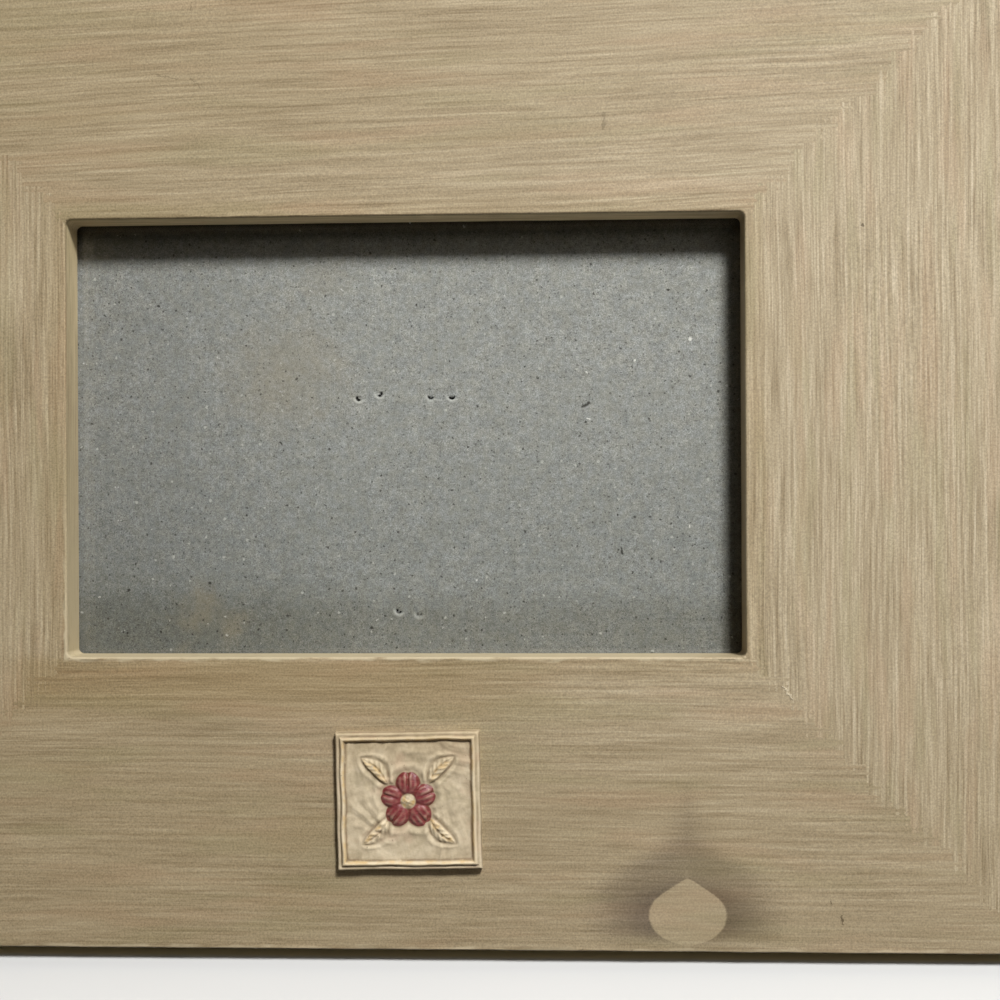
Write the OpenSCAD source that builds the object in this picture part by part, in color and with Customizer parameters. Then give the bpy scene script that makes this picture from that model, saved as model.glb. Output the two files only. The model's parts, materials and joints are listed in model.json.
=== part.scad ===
// Wide painted photo frame that stands on a hinged easel leg.
// It is drawn upright, with x to the right, y from the face to the back and z up the face, and then leaned.

/* [Window and moulding] */
// Width of the window between the inner edges
window_w = 142; // [120:1:180]
// Height of the window between the inner edges
window_h = 92; // [76:1:120]
// Width of the moulding across its face
rail_w = 61; // [50:1:75]
// Thickness of the moulding from its face to its back
rail_t = 13.5; // [11.2:0.1:17]
// Width of the lip that overlaps the glass
lip_w = 6; // [5:0.5:8]
// Radius of the softened front edges
arris_r = 0.8; // [0.4:0.1:1.5]

/* [Corner V nails] */
// Length of each wing of a nail
nail_wing = 7; // [4:0.5:9]
// Thickness of the nail's steel
nail_t = 0.8; // [0.5:0.1:1.2]
// Depth that a nail is driven in from the back
nail_depth = 8; // [5:0.5:9.5]
// Distance from the outer edges to the outer nail
nail_outer = 15; // [10:1:20]
// Distance from the rabbet to the inner nail
nail_inner = 13; // [10:1:18]

/* [Glass and back] */
// Thickness of the glass
glass_t = 2; // [1.5:0.1:2.5]
// Room left for a print between the glass and the board
print_gap = 0.2; // [0.1:0.1:0.5]
// Thickness of the backing board
board_t = 3; // [2:0.1:3.6]
// Thickness of the paper on the back of the board
paper_t = 0.3; // [0.2:0.1:0.5]
// Room around the glass and the board in the rabbet
rabbet_clear = 0.5; // [0.2:0.1:1]

/* [Stance] */
// Angle that the frame leans back
lean = 17; // [10:1:20]
// Angle between the open leg and the back
leg_open = 30; // [24:1:36]

/* [Easel leg and hinge] */
// Height of the hinge staples above the window's lower edge
hinge_up = 55; // [45:1:66]
// Thickness of the leg
leg_t = 2.4; // [2:0.1:3]
// Room between the folded leg and the back
leg_gap = 1; // [0.9:0.1:1.5]
// Width of the leg at its hinge
leg_top_w = 34; // [30:1:42]
// Width of the leg at its foot
leg_foot_w = 52; // [42:1:64]
// Thickness of the hinge leaves
leaf_t = 0.6; // [0.5:0.1:0.8]
// Width of the hinge leaves
leaf_w = 26; // [24:1:30]
// Height of each leaf from the pin
leaf_h = 14; // [12:1:18]
// Length of the middle knuckle
knuckle_l = 10; // [8:1:12]
// Outer radius of the knuckles
knuckle_r = 1.6; // [1.5:0.1:2]
// Radius of the hinge pin
pin_r = 0.8; // [0.6:0.1:0.8]
// Distance of each leg rivet from the centre line
rivet_x = 8; // [7:0.5:9]
// Radius of a rivet's head
rivet_head_r = 1.9; // [1.6:0.1:2.2]

/* [Staples] */
// Width of a staple's crown
staple_w = 4.8; // [4:0.1:5.5]
// Thickness of the staple wire
wire_t = 0.45; // [0.4:0.05:0.5]
// Distance of each hinge staple from the centre line
hinge_staple_x = 7.7; // [7:0.1:8.5]

/* [Stay ribbon] */
// Width of the ribbon
ribbon_w = 10; // [8:0.5:14]
// Thickness of the ribbon
ribbon_t = 0.3; // [0.2:0.05:0.35]
// Distance from the hinge pin down to the ribbon's staple on the board
ribbon_staple_down = 39.5; // [34:0.5:44]
// Length of ribbon that lies flat on each side of a staple
ribbon_tab = 5; // [4:0.5:6]
// Distance that the ribbon drops while it crosses to the leg
ribbon_drop = 6; // [4:0.5:8]

/* [Turn buttons] */
// Length of a button from its screw to its tip
button_reach = 15; // [13:0.5:18]
// Width of a button
button_w = 9; // [7.5:0.5:11]
// Thickness of a button
button_t = 0.9; // [0.7:0.1:1.2]
// Distance of each button from the centre line
button_x = 50; // [46:1:58]
// Distance from the rabbet to a button's screw
button_set = 9; // [7.5:0.5:11]
// Radius of the screw's shank
screw_r = 1.3; // [1.1:0.1:1.6]
// Radius of the screw's head
screw_head_r = 2.7; // [2.4:0.1:3]
// Thickness of the screw's head
screw_head_t = 1.6; // [1.2:0.1:2]
// Width of the cross in the screw's head
screw_slot_w = 0.65; // [0.5:0.05:0.8]
// Depth of the screw in the moulding
screw_depth = 9; // [6:0.5:10]

/* [Ornament tile] */
// Width of the tile
tile_w = 30; // [25:0.5:36]
// Height of the tile
tile_h = 28.5; // [24:0.5:34]
// Thickness of the tile at the ridge of its border
tile_t = 2.8; // [2.5:0.1:3.5]
// Thickness of the tile at the outer step of its border
tile_step_t = 2.2; // [1.8:0.1:2.4]
// Thickness of the tile at its sunk field
tile_field_t = 1.4; // [1.1:0.1:1.7]
// Angle that the tile sits off square
tile_turn = 1; // [0:0.5:3]
// Distance that the tile sits right of the centre line
tile_right = 1.1; // [0:0.1:2]
// Distance that the tile sits above the middle of the rail
tile_up = 1; // [0:0.1:2]
// Width of each of the two steps of the border
tile_step_w = 1.2; // [0.8:0.1:1.5]
// Radius of a petal of the rosette
petal_r = 2.7; // [2.2:0.1:3]
// Height of a petal above the field
petal_rise = 1.1; // [0.8:0.1:1.4]
// Distance of each petal from the middle of the rosette
petal_ring = 3.4; // [3:0.1:3.8]
// Number of petals
petals = 5; // [4:1:6]
// Radius of the rosette's middle
bud_r = 1.5; // [1.2:0.1:1.8]
// Length of a leaf
spray_l = 8; // [7:0.5:8.5]
// Radius of the two arcs that bound a leaf
spray_arc_r = 6; // [5:0.5:7]
// Height of a leaf above the field
spray_rise = 0.7; // [0.5:0.1:1]
// Distance from the middle of the tile to the middle of a leaf
spray_at = 9.2; // [8.8:0.1:9.6]

/* [Hidden] */
$fn = 48;

paint_colour = [0.63, 0.56, 0.46];
glass_colour = [0.85, 0.92, 0.90, 0.35];
chipboard_colour = [0.56, 0.57, 0.55];
paper_colour = [0.12, 0.12, 0.12];
steel_colour = [0.72, 0.72, 0.70];
brass_colour = [0.76, 0.62, 0.34];
ribbon_colour = [0.08, 0.08, 0.09];
tile_colour = [0.90, 0.85, 0.74];

// Room in a hole for what is fixed in it, and for what turns in it or on it
fixed_clear = 0.04;
turning_clear = 0.05;
// Room between flat pieces that move past each other
slide_gap = 0.2;
// Length that a cutter runs past what it cuts
past = 1;

frame_w = window_w + 2 * rail_w;
frame_h = window_h + 2 * rail_w;
rabbet_at = rail_w - lip_w;
stack_t = glass_t + print_gap + board_t + paper_t;
lip_t = rail_t - stack_t;
pane_w = window_w + 2 * (lip_w - rabbet_clear);
pane_h = window_h + 2 * (lip_w - rabbet_clear);
board_y = lip_t + glass_t + print_gap;
paper_y = rail_t - paper_t;
nail_places = [nail_outer, rabbet_at - nail_inner];

// The hinge: the folded leg lies over the back, with the lower leaf on its outer side
hinge_staple_z = rail_w + hinge_up;
hinge_z = hinge_staple_z - leaf_h / 2;
leg_y = rail_t + leg_gap;
lower_leaf_y = leg_y + leg_t;
hinge_y = lower_leaf_y + leaf_t - knuckle_r;
leaf_clear = knuckle_r + slide_gap;
leg_top_down = leaf_clear + leaf_t;
rivet_down = leaf_clear + (leaf_h - leaf_clear) / 2;
rivet_r = rivet_head_r / 2;
rivet_head_t = leg_gap / 2;

// The ribbon: it leaves the board, turns across to the leg and lies down on that
ribbon_near = ribbon_staple_down + ribbon_tab;
ribbon_far = ribbon_near + ribbon_drop;
leg_staple_down = ribbon_far + ribbon_tab;
ribbon_steps = 32;
ribbon_off_board = rail_t + ribbon_t / 2 - hinge_y;
ribbon_off_leg = leg_y - ribbon_t / 2 - hinge_y;

// The stance: the lower back edge and the leg's foot are on the floor, and the origin is under the middle
splay = leg_open - lean;
lift = rail_t * sin(lean);
hinge_floor_y = hinge_y * cos(lean) + hinge_z * sin(lean);
hinge_floor_z = hinge_z * cos(lean) - hinge_y * sin(lean) + lift;
leg_off = lower_leaf_y - hinge_y;
leg_l = (hinge_floor_z + leg_off * sin(splay)) / cos(splay);
front_y = arris_r * (cos(lean) + sin(lean) - 1);
top_back_y = rail_t * cos(lean) + frame_h * sin(lean);
foot_back_y = hinge_floor_y + leg_l * sin(splay) + leg_off * cos(splay);
middle_y = (front_y + max(top_back_y, foot_back_y)) / 2;

// The turn buttons
button_y = rail_t + slide_gap;
button_z = rabbet_at - button_set;
screw_head_y = button_y + button_t + slide_gap;

// The relief: how deep it is rooted in the field, the sphere of a petal's cap, and how far each arc of a leaf
// is from its middle line
relief_root = tile_field_t / 2;
petal_sphere_r = (petal_r * petal_r + petal_rise * petal_rise) / (2 * petal_rise);
spray_off = sqrt(spray_arc_r * spray_arc_r - spray_l * spray_l / 4);

// Leans the upright frame back onto the floor.
module leaned() {
  translate([0, -middle_y, lift]) rotate([-lean, 0, 0]) children();
}

// Swings what is drawn on the folded leg out to the open leg.
module on_leg() {
  translate([0, hinge_y, hinge_z]) rotate([leg_open, 0, 0]) translate([0, -hinge_y, -hinge_z]) children();
}

// Brings what is drawn on a bottom rail to another side of the frame.
module at_side(turn, reach) {
  translate([0, 0, frame_h / 2]) rotate([0, turn, 0]) translate([0, 0, -reach]) children();
}

// An outline in x and z, made solid from y = front to y = front + thick.
module plate(front, thick) {
  translate([0, front + thick, 0]) rotate([90, 0, 0]) linear_extrude(thick) children();
}

// A rod along y from y = front.
module rod(front, length, radius) {
  translate([0, front, 0]) rotate([-90, 0, 0]) cylinder(length, r = radius);
}

// A rod along the hinge pin, about the centre line.
module axle(length, radius) {
  translate([0, hinge_y, hinge_z]) rotate([0, 90, 0]) cylinder(length, r = radius, center = true);
}

// The moulding's section, with its depth along x and its width from the outer edge along y.
module rail_section() {
  difference() {
    union() {
      translate([arris_r, 0]) square([rail_t - arris_r, rail_w]);
      translate([0, arris_r]) square([arris_r, rail_w - 2 * arris_r]);
      for (edge = [arris_r, rail_w - arris_r]) translate([arris_r, edge]) circle(arris_r);
    }
    translate([lip_t, rabbet_at]) square([stack_t + past, lip_w + past]);
  }
}

// The two V nails at one end of a rail, with their wings along the rail and across it.
module end_nails(length, end, room) {
  half_t = nail_t / 2 + room;
  for (place = nail_places) {
    translate([end * (length / 2 - place), rail_t - nail_depth - room, place]) scale([-end, 1, 1]) {
      translate([-half_t, 0, -half_t]) cube([nail_wing + room + half_t, nail_depth + room, 2 * half_t]);
      translate([-half_t, 0, -half_t]) cube([2 * half_t, nail_depth + room, nail_wing + room + half_t]);
    }
  }
}

// One mitred length of moulding with its outer edge on z = 0 and the slots of its V nails.
module rail(length) {
  outer = length / 2 + past;
  inner = length / 2 - rail_w - past;
  difference() {
    intersection() {
      translate([-length / 2, 0, 0]) rotate([90, 0, 90]) linear_extrude(length) rail_section();
      plate(-past, rail_t + 2 * past)
        polygon([[-outer, -past], [outer, -past], [inner, rail_w + past], [-inner, rail_w + past]]);
    }
    for (end = [-1, 1]) end_nails(length, end, fixed_clear);
  }
}

// A rail with the pilot holes of its two button screws.
module screwed_rail() {
  difference() {
    rail(frame_w);
    for (side = [-1, 1]) {
      translate([side * button_x, 0, button_z])
        rod(rail_t - screw_depth - fixed_clear, screw_depth + past, screw_r + fixed_clear);
    }
  }
}

module bottom_rail() {
  color(paint_colour) leaned() screwed_rail();
}

module top_rail() {
  color(paint_colour) leaned() at_side(180, frame_h / 2) screwed_rail();
}

module left_stile() {
  color(paint_colour) leaned() at_side(90, frame_w / 2) rail(frame_h);
}

module right_stile() {
  color(paint_colour) leaned() at_side(-90, frame_w / 2) rail(frame_h);
}

module corner_v_nails() {
  color(steel_colour) leaned() {
    for (turn = [0, 180], end = [-1, 1]) at_side(turn, frame_h / 2) end_nails(frame_w, end, 0);
  }
}

// A sheet of the rabbet's size, about the middle of the window.
module rabbet_sheet(front, thick) {
  translate([0, 0, frame_h / 2]) plate(front, thick) square([pane_w, pane_h], center = true);
}

module glazing() {
  color(glass_colour) leaned() rabbet_sheet(lip_t, glass_t);
}

// The two prongs of a staple about x and z = 0, between two depths.
module staple_prongs(front, back, room) {
  half_t = wire_t / 2 + room;
  for (side = [-1, 1]) {
    translate([side * (staple_w - wire_t) / 2 - half_t, front, -half_t])
      cube([2 * half_t, back - front, 2 * half_t]);
  }
}

// A whole staple: its prongs, and its crown on the side that the sign gives.
module staple(front, back, crown_side) {
  crown_y = crown_side > 0 ? back - wire_t : front;
  staple_prongs(front, back, 0);
  translate([-staple_w / 2, crown_y, -wire_t / 2]) cube([staple_w, wire_t, wire_t]);
}

// Places children at each staple of the upper leaf.
module at_hinge_staples() {
  for (side = [-1, 1]) translate([side * hinge_staple_x, 0, hinge_staple_z]) children();
}

// Places children at the ribbon's staple on the board, and on the folded leg.
module at_board_ribbon_staple() {
  translate([0, 0, hinge_z - ribbon_staple_down]) children();
}

module at_leg_ribbon_staple() {
  translate([0, 0, hinge_z - leg_staple_down]) children();
}

// The holes of the three staples that go through the back.
module back_staple_holes() {
  at_hinge_staples() staple_prongs(0, rail_t + past, fixed_clear);
  at_board_ribbon_staple() staple_prongs(0, rail_t + past, fixed_clear);
}

module backing_board() {
  color(chipboard_colour) leaned() difference() {
    rabbet_sheet(board_y, board_t);
    back_staple_holes();
  }
}

module backing_paper() {
  color(paper_colour) leaned() difference() {
    rabbet_sheet(paper_y, paper_t);
    back_staple_holes();
  }
}

// One leaf of the rosette's four, with its middle at the origin and its length along y.
module leaf_outline() {
  intersection_for(side = [-1, 1]) translate([side * spray_off, 0]) circle(spray_arc_r);
}

// The tile upright about its own middle: a stepped border round a sunk field, a rosette and four leaves.
module tile_solid() {
  field_w = tile_w - 4 * tile_step_w;
  field_h = tile_h - 4 * tile_step_w;
  difference() {
    union() {
      plate(-tile_step_t, tile_step_t) square([tile_w, tile_h], center = true);
      plate(-tile_t, tile_t) square([tile_w - 2 * tile_step_w, tile_h - 2 * tile_step_w], center = true);
    }
    plate(-tile_t - past, tile_t + past - tile_field_t) square([field_w, field_h], center = true);
  }
  for (i = [0:petals - 1]) {
    rotate([0, i * 360 / petals, 0]) translate([0, 0, petal_ring]) petal();
  }
  rod(-tile_field_t - petal_rise, petal_rise + relief_root, bud_r);
  for (turn = [45:90:315]) {
    rotate([0, turn, 0]) translate([0, 0, spray_at])
      plate(-tile_field_t - spray_rise, spray_rise + relief_root) leaf_outline();
  }
}

// A petal: the cap of a sphere that rises from the tile's field.
module petal() {
  intersection() {
    translate([0, petal_sphere_r - petal_rise - tile_field_t, 0]) sphere(petal_sphere_r);
    rod(-tile_t - past, tile_t + past - relief_root, petal_r + past);
  }
}

module ornament_tile() {
  color(tile_colour) leaned() translate([tile_right, 0, rail_w / 2 + tile_up]) rotate([0, -tile_turn, 0])
    tile_solid();
}

// A turn button on its screw, closed over the board: side is the rail's half, turn the rail's side.
module turn_button(turn, side) {
  color(steel_colour) leaned() at_side(turn, frame_h / 2) translate([side * button_x, 0, button_z])
    plate(button_y, button_t) difference() {
      union() {
        for (end = [0, button_reach - button_w / 2]) translate([0, end]) circle(button_w / 2);
        translate([-button_w / 2, 0]) square([button_w, button_reach - button_w / 2]);
      }
      circle(screw_r + turning_clear);
    }
}

module top_left_turn_button() {
  turn_button(180, 1);
}

module top_right_turn_button() {
  turn_button(180, -1);
}

module bottom_left_turn_button() {
  turn_button(0, -1);
}

module bottom_right_turn_button() {
  turn_button(0, 1);
}

// A pan-head screw along y with a cross in its head.
module screw() {
  difference() {
    union() {
      rod(rail_t - screw_depth, screw_depth + screw_head_y - rail_t + fixed_clear, screw_r);
      rod(screw_head_y, screw_head_t, screw_head_r);
    }
    translate([0, screw_head_y + screw_head_t, 0]) {
      cube([2 * screw_r, screw_head_t, screw_slot_w], center = true);
      cube([screw_slot_w, screw_head_t, 2 * screw_r], center = true);
    }
  }
}

module button_screws() {
  color(brass_colour) leaned() {
    for (turn = [0, 180], side = [-1, 1]) {
      at_side(turn, frame_h / 2) translate([side * button_x, 0, button_z]) screw();
    }
  }
}

// The upper leaf lies on the back, turns out and curls round the pin at its two ends.
module hinge_upper_leaf() {
  web_z = hinge_z + knuckle_r - leaf_t;
  side_l = (leaf_w - knuckle_l) / 2 - slide_gap;
  color(steel_colour) leaned() difference() {
    union() {
      translate([-leaf_w / 2, rail_t, web_z]) cube([leaf_w, leaf_t, hinge_z + leaf_h - web_z]);
      for (side = [-1, 1]) translate([side * (leaf_w - side_l) / 2, 0, 0]) {
        translate([-side_l / 2, rail_t, web_z]) cube([side_l, hinge_y - rail_t, leaf_t]);
        axle(side_l, knuckle_r);
      }
    }
    axle(leaf_w + past, pin_r + turning_clear);
    at_hinge_staples() staple_prongs(rail_t - past, rail_t + leaf_t + past, fixed_clear);
  }
}

module hinge_staples() {
  color(steel_colour) leaned() {
    at_hinge_staples() staple(board_y + fixed_clear, rail_t + leaf_t + wire_t, 1);
  }
}

module hinge_pin() {
  color(steel_colour) leaned() axle(leaf_w, pin_r);
}

// Places children at each leg rivet, on the folded leg.
module at_leg_rivets() {
  for (side = [-1, 1]) translate([side * rivet_x, 0, hinge_z - rivet_down]) children();
}

// The lower leaf curls round the middle of the pin and lies on the outer side of the leg.
module hinge_lower_leaf() {
  color(steel_colour) leaned() on_leg() difference() {
    union() {
      translate([-leaf_w / 2, lower_leaf_y, hinge_z - leaf_h]) cube([leaf_w, leaf_t, leaf_h - leaf_clear]);
      translate([-knuckle_l / 2, lower_leaf_y, hinge_z - leaf_h]) cube([knuckle_l, leaf_t, leaf_h]);
      axle(knuckle_l, knuckle_r);
    }
    axle(knuckle_l + past, pin_r + turning_clear);
    at_leg_rivets() rod(leg_y, leg_t + leaf_t + past, rivet_r + fixed_clear);
  }
}

module leg_rivets() {
  color(brass_colour) leaned() on_leg() at_leg_rivets() {
    rod(leg_y - rivet_head_t, rivet_head_t, rivet_head_r);
    rod(leg_y - rivet_head_t, rivet_head_t + leg_t + leaf_t + rivet_head_t, rivet_r);
    rod(lower_leaf_y + leaf_t, rivet_head_t, rivet_head_r);
  }
}

// The leg widens down to its foot, which is cut level with the floor.
module easel_leg() {
  leg_end_z = hinge_z - leg_l - leg_t;
  leg_start_z = hinge_z - leg_top_down;
  floor_l = 2 * (frame_w + frame_h);
  color(paper_colour) difference() {
    leaned() on_leg() difference() {
      plate(leg_y, leg_t) polygon([
        [-leg_top_w / 2, leg_start_z], [leg_top_w / 2, leg_start_z],
        [leg_foot_w / 2, leg_end_z], [-leg_foot_w / 2, leg_end_z]
      ]);
      at_leg_rivets() rod(leg_y - past, leg_t + 2 * past, rivet_r + fixed_clear);
      at_leg_ribbon_staple() staple_prongs(leg_y - past, lower_leaf_y + past, fixed_clear);
    }
    translate([-floor_l / 2, -floor_l / 2, -floor_l]) cube(floor_l);
  }
}

// How far the ribbon has turned from the board to the leg, at a share t of its drop.
function ribbon_share(t) = let (s = max(0, min(1, t))) s * s * (3 - 2 * s);

// The ribbon's middle line in y and z, at a share t of its drop, moved out from its middle by off.
function ribbon_point(t, off) = let (
  angle = leg_open * ribbon_share(t),
  reach = (ribbon_near + t * ribbon_drop) * cos(leg_open / 2) / cos(angle - leg_open / 2),
  out = ribbon_off_board + ribbon_share(t) * (ribbon_off_leg - ribbon_off_board) + off
) [hinge_y + reach * sin(angle) + out * cos(angle), hinge_z - reach * cos(angle) + out * sin(angle)];

module stay_ribbon() {
  tab_share = 2 * ribbon_tab / ribbon_drop;
  crossing = [for (i = [0:ribbon_steps]) i / ribbon_steps];
  shares = concat([-tab_share], crossing, [1 + tab_share]);
  front_side = [for (t = shares) ribbon_point(t, -ribbon_t / 2)];
  back_side = [for (i = [len(shares) - 1:-1:0]) ribbon_point(shares[i], ribbon_t / 2)];
  color(ribbon_colour) leaned() difference() {
    translate([-ribbon_w / 2, 0, 0]) rotate([90, 0, 90]) linear_extrude(ribbon_w)
      polygon(concat(front_side, back_side));
    back_staple_holes();
    on_leg() at_leg_ribbon_staple() staple_prongs(leg_y - past, leg_y + past, fixed_clear);
  }
}

module board_ribbon_staple() {
  color(steel_colour) leaned() {
    at_board_ribbon_staple() staple(board_y + fixed_clear, rail_t + ribbon_t + wire_t, 1);
  }
}

module leg_ribbon_staple() {
  color(steel_colour) leaned() on_leg() {
    at_leg_ribbon_staple() staple(leg_y - ribbon_t - wire_t, lower_leaf_y, -1);
  }
}

top_rail();
bottom_rail();
left_stile();
right_stile();
corner_v_nails();
glazing();
backing_board();
backing_paper();
ornament_tile();
top_left_turn_button();
top_right_turn_button();
bottom_left_turn_button();
bottom_right_turn_button();
button_screws();
hinge_upper_leaf();
hinge_staples();
hinge_pin();
hinge_lower_leaf();
leg_rivets();
easel_leg();
stay_ribbon();
board_ribbon_staple();
leg_ribbon_staple();
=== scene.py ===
import json
import math
import bpy
import numpy as np
from mathutils import Matrix, Vector


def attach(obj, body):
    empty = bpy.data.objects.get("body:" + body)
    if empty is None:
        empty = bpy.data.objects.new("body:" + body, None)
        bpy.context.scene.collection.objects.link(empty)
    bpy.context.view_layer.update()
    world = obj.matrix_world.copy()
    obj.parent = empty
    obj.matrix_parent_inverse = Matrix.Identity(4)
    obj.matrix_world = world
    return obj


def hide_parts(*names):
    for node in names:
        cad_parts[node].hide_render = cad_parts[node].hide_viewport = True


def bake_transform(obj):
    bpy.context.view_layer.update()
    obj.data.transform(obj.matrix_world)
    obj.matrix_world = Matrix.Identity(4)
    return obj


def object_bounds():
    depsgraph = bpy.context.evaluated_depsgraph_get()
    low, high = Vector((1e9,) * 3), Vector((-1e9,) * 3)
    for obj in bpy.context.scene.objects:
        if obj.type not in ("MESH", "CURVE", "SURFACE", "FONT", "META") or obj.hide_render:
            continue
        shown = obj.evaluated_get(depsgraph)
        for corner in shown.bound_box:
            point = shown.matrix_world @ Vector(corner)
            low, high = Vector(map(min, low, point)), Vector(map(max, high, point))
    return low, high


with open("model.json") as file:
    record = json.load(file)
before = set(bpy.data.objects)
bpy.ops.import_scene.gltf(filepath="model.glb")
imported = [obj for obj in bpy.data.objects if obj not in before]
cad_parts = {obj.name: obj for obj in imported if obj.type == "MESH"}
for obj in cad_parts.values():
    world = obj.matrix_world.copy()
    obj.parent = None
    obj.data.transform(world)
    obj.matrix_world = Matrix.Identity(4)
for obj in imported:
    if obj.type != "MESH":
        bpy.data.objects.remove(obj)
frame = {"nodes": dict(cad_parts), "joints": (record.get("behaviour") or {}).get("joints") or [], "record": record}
cad_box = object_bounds()


# The four mouldings: lengths of fibreboard, mitred and glued at the corners, with a rabbet behind the lip.
# Face and edges are painted cream, and a taupe glaze is dragged over the cream with a dry brush, along each
# moulding. The back is bare board.
MM = 0.001
nodes = frame["nodes"]
down = next(mount["axis"] for mount in frame["record"]["mounts"] if mount["name"] == "bottom_edge")
lean = math.atan2(-down[1], -down[2])
STRAIGHTEN = np.array(Matrix.Rotation(lean, 3, "X"))


def node_points(name):
    """A CAD node's vertices in metres."""
    points = np.empty(3 * len(nodes[name].data.vertices), np.float32)
    nodes[name].data.vertices.foreach_get("co", points)
    return points.reshape(-1, 3).astype(float)


low_rail = node_points("bottom_rail") @ STRAIGHTEN.T
FRONT_EDGE = np.array([0.0, low_rail[:, 1].min(), low_rail[:, 2].min()])


def upright(points):
    """Metres in the leaning frame to millimetres in the upright one, where x runs right from the centre
    line, y from the face to the back and z up from the bottom edge: turn the lean away, then count from
    the bottom edge."""
    return (np.asarray(points) @ STRAIGHTEN.T - FRONT_EDGE) / MM


def stand(points):
    """Upright millimetres to metres in the leaning frame: the way back from upright."""
    return (np.asarray(points) * MM + FRONT_EDGE) @ STRAIGHTEN


def upright_box(name):
    """The lowest and highest upright corners of a CAD node."""
    points = upright(node_points(name))
    return points.min(0), points.max(0)


rail_low, rail_high = upright_box("bottom_rail")
FRAME_W = rail_high[0] - rail_low[0]
FRAME_H = upright_box("top_rail")[1][2]
RAIL_T, RAIL_W = rail_high[1:]
LIP_T = upright_box("glazing")[0][1]
LIP_W = 6.0
WINDOW_W = FRAME_W - 2 * RAIL_W
WINDOW_H = FRAME_H - 2 * RAIL_W
ARRIS_R = 0.5
# The paint's fillet in the window's corners, and how far from the window it is gone
CORNER_R = 1.2
FILLET_REACH = 3.0
# How far the bare back lies under the nails, and how much the painted face dips
BACK_SHY = 0.03
FACE_DIP = 0.05


def wander(a, b, length, seed, waves=9):
    """A smooth random surface over two coordinates, mostly within 1 of zero: the sum of sine waves near one
    wave length, in seeded directions, over the root of their number."""
    draw = np.random.default_rng(seed)
    heading = draw.uniform(0, math.tau, waves)
    pitch = math.tau / (length * draw.uniform(0.6, 1.6, waves))
    phase = draw.uniform(0, math.tau, waves)
    across = np.multiply.outer(a, np.cos(heading)) + np.multiply.outer(b, np.sin(heading))
    return np.sin(across * pitch + phase).sum(-1) / math.sqrt(waves)


def grid_faces(rows, cols, ring=False):
    """Quads between the neighbours of a grid of points, whose columns close on themselves for a ring."""
    row, col = np.meshgrid(np.arange(rows - 1), np.arange(cols if ring else cols - 1), indexing="ij")
    after = (col + 1) % cols
    corners = [row * cols + col, row * cols + after, (row + 1) * cols + after, (row + 1) * cols + col]
    return np.stack(corners, -1).reshape(-1, 4)


def fan(ring, middle):
    """Triangles from each edge of a ring of points to a point in its middle."""
    return np.stack([ring, np.roll(ring, -1), np.full(len(ring), middle)], -1)


def close_ends(rings):
    """A closed run from a grid of rings: quads between the rings, and a fan about the middle of each end."""
    rows, cols, _ = rings.shape
    points = rings.reshape(-1, 3)
    first = np.arange(cols)
    last = first + (rows - 1) * cols
    count = len(points)
    faces = [grid_faces(rows, cols, ring=True), fan(first[::-1], count), fan(last, count + 1)]
    return np.concatenate([points, [points[first].mean(0), points[last].mean(0)]]), faces


def make_piece(name, points, faces, material, sharp=40):
    """A mesh object from upright points in millimetres and groups of faces, smooth but for edges over sharp
    degrees. The signed volume under the faces, which is negative inside out, says whether to turn them
    round."""
    volume = 0
    for group in faces:
        for i in range(1, group.shape[1] - 1):
            a, b, c = points[group[:, 0]], points[group[:, i]], points[group[:, i + 1]]
            volume += (a * np.cross(b, c)).sum()
    if volume < 0:
        faces = [group[:, ::-1] for group in faces]
    mesh = bpy.data.meshes.new(name)
    mesh.from_pydata(stand(points).tolist(), [], [face for group in faces for face in group.tolist()])
    mesh.shade_smooth()
    mesh.set_sharp_from_angle(angle=math.radians(sharp))
    mesh.materials.append(material)
    piece = bpy.data.objects.new(name, mesh)
    bpy.context.scene.collection.objects.link(piece)
    return piece


def fit(piece, node, body="frame"):
    """Puts a piece in the place of a CAD node, on its body."""
    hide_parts(node)
    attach(piece, body)


def tint(red, green, blue):
    """A colour as a screen shows it, from 0 to 255, as the light that a shader works with."""
    shares = np.array([red, green, blue]) / 255
    return (*np.where(shares > 0.04, ((shares + 0.055) / 1.055) ** 2.4, shares / 12.92), 1.0)


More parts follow.
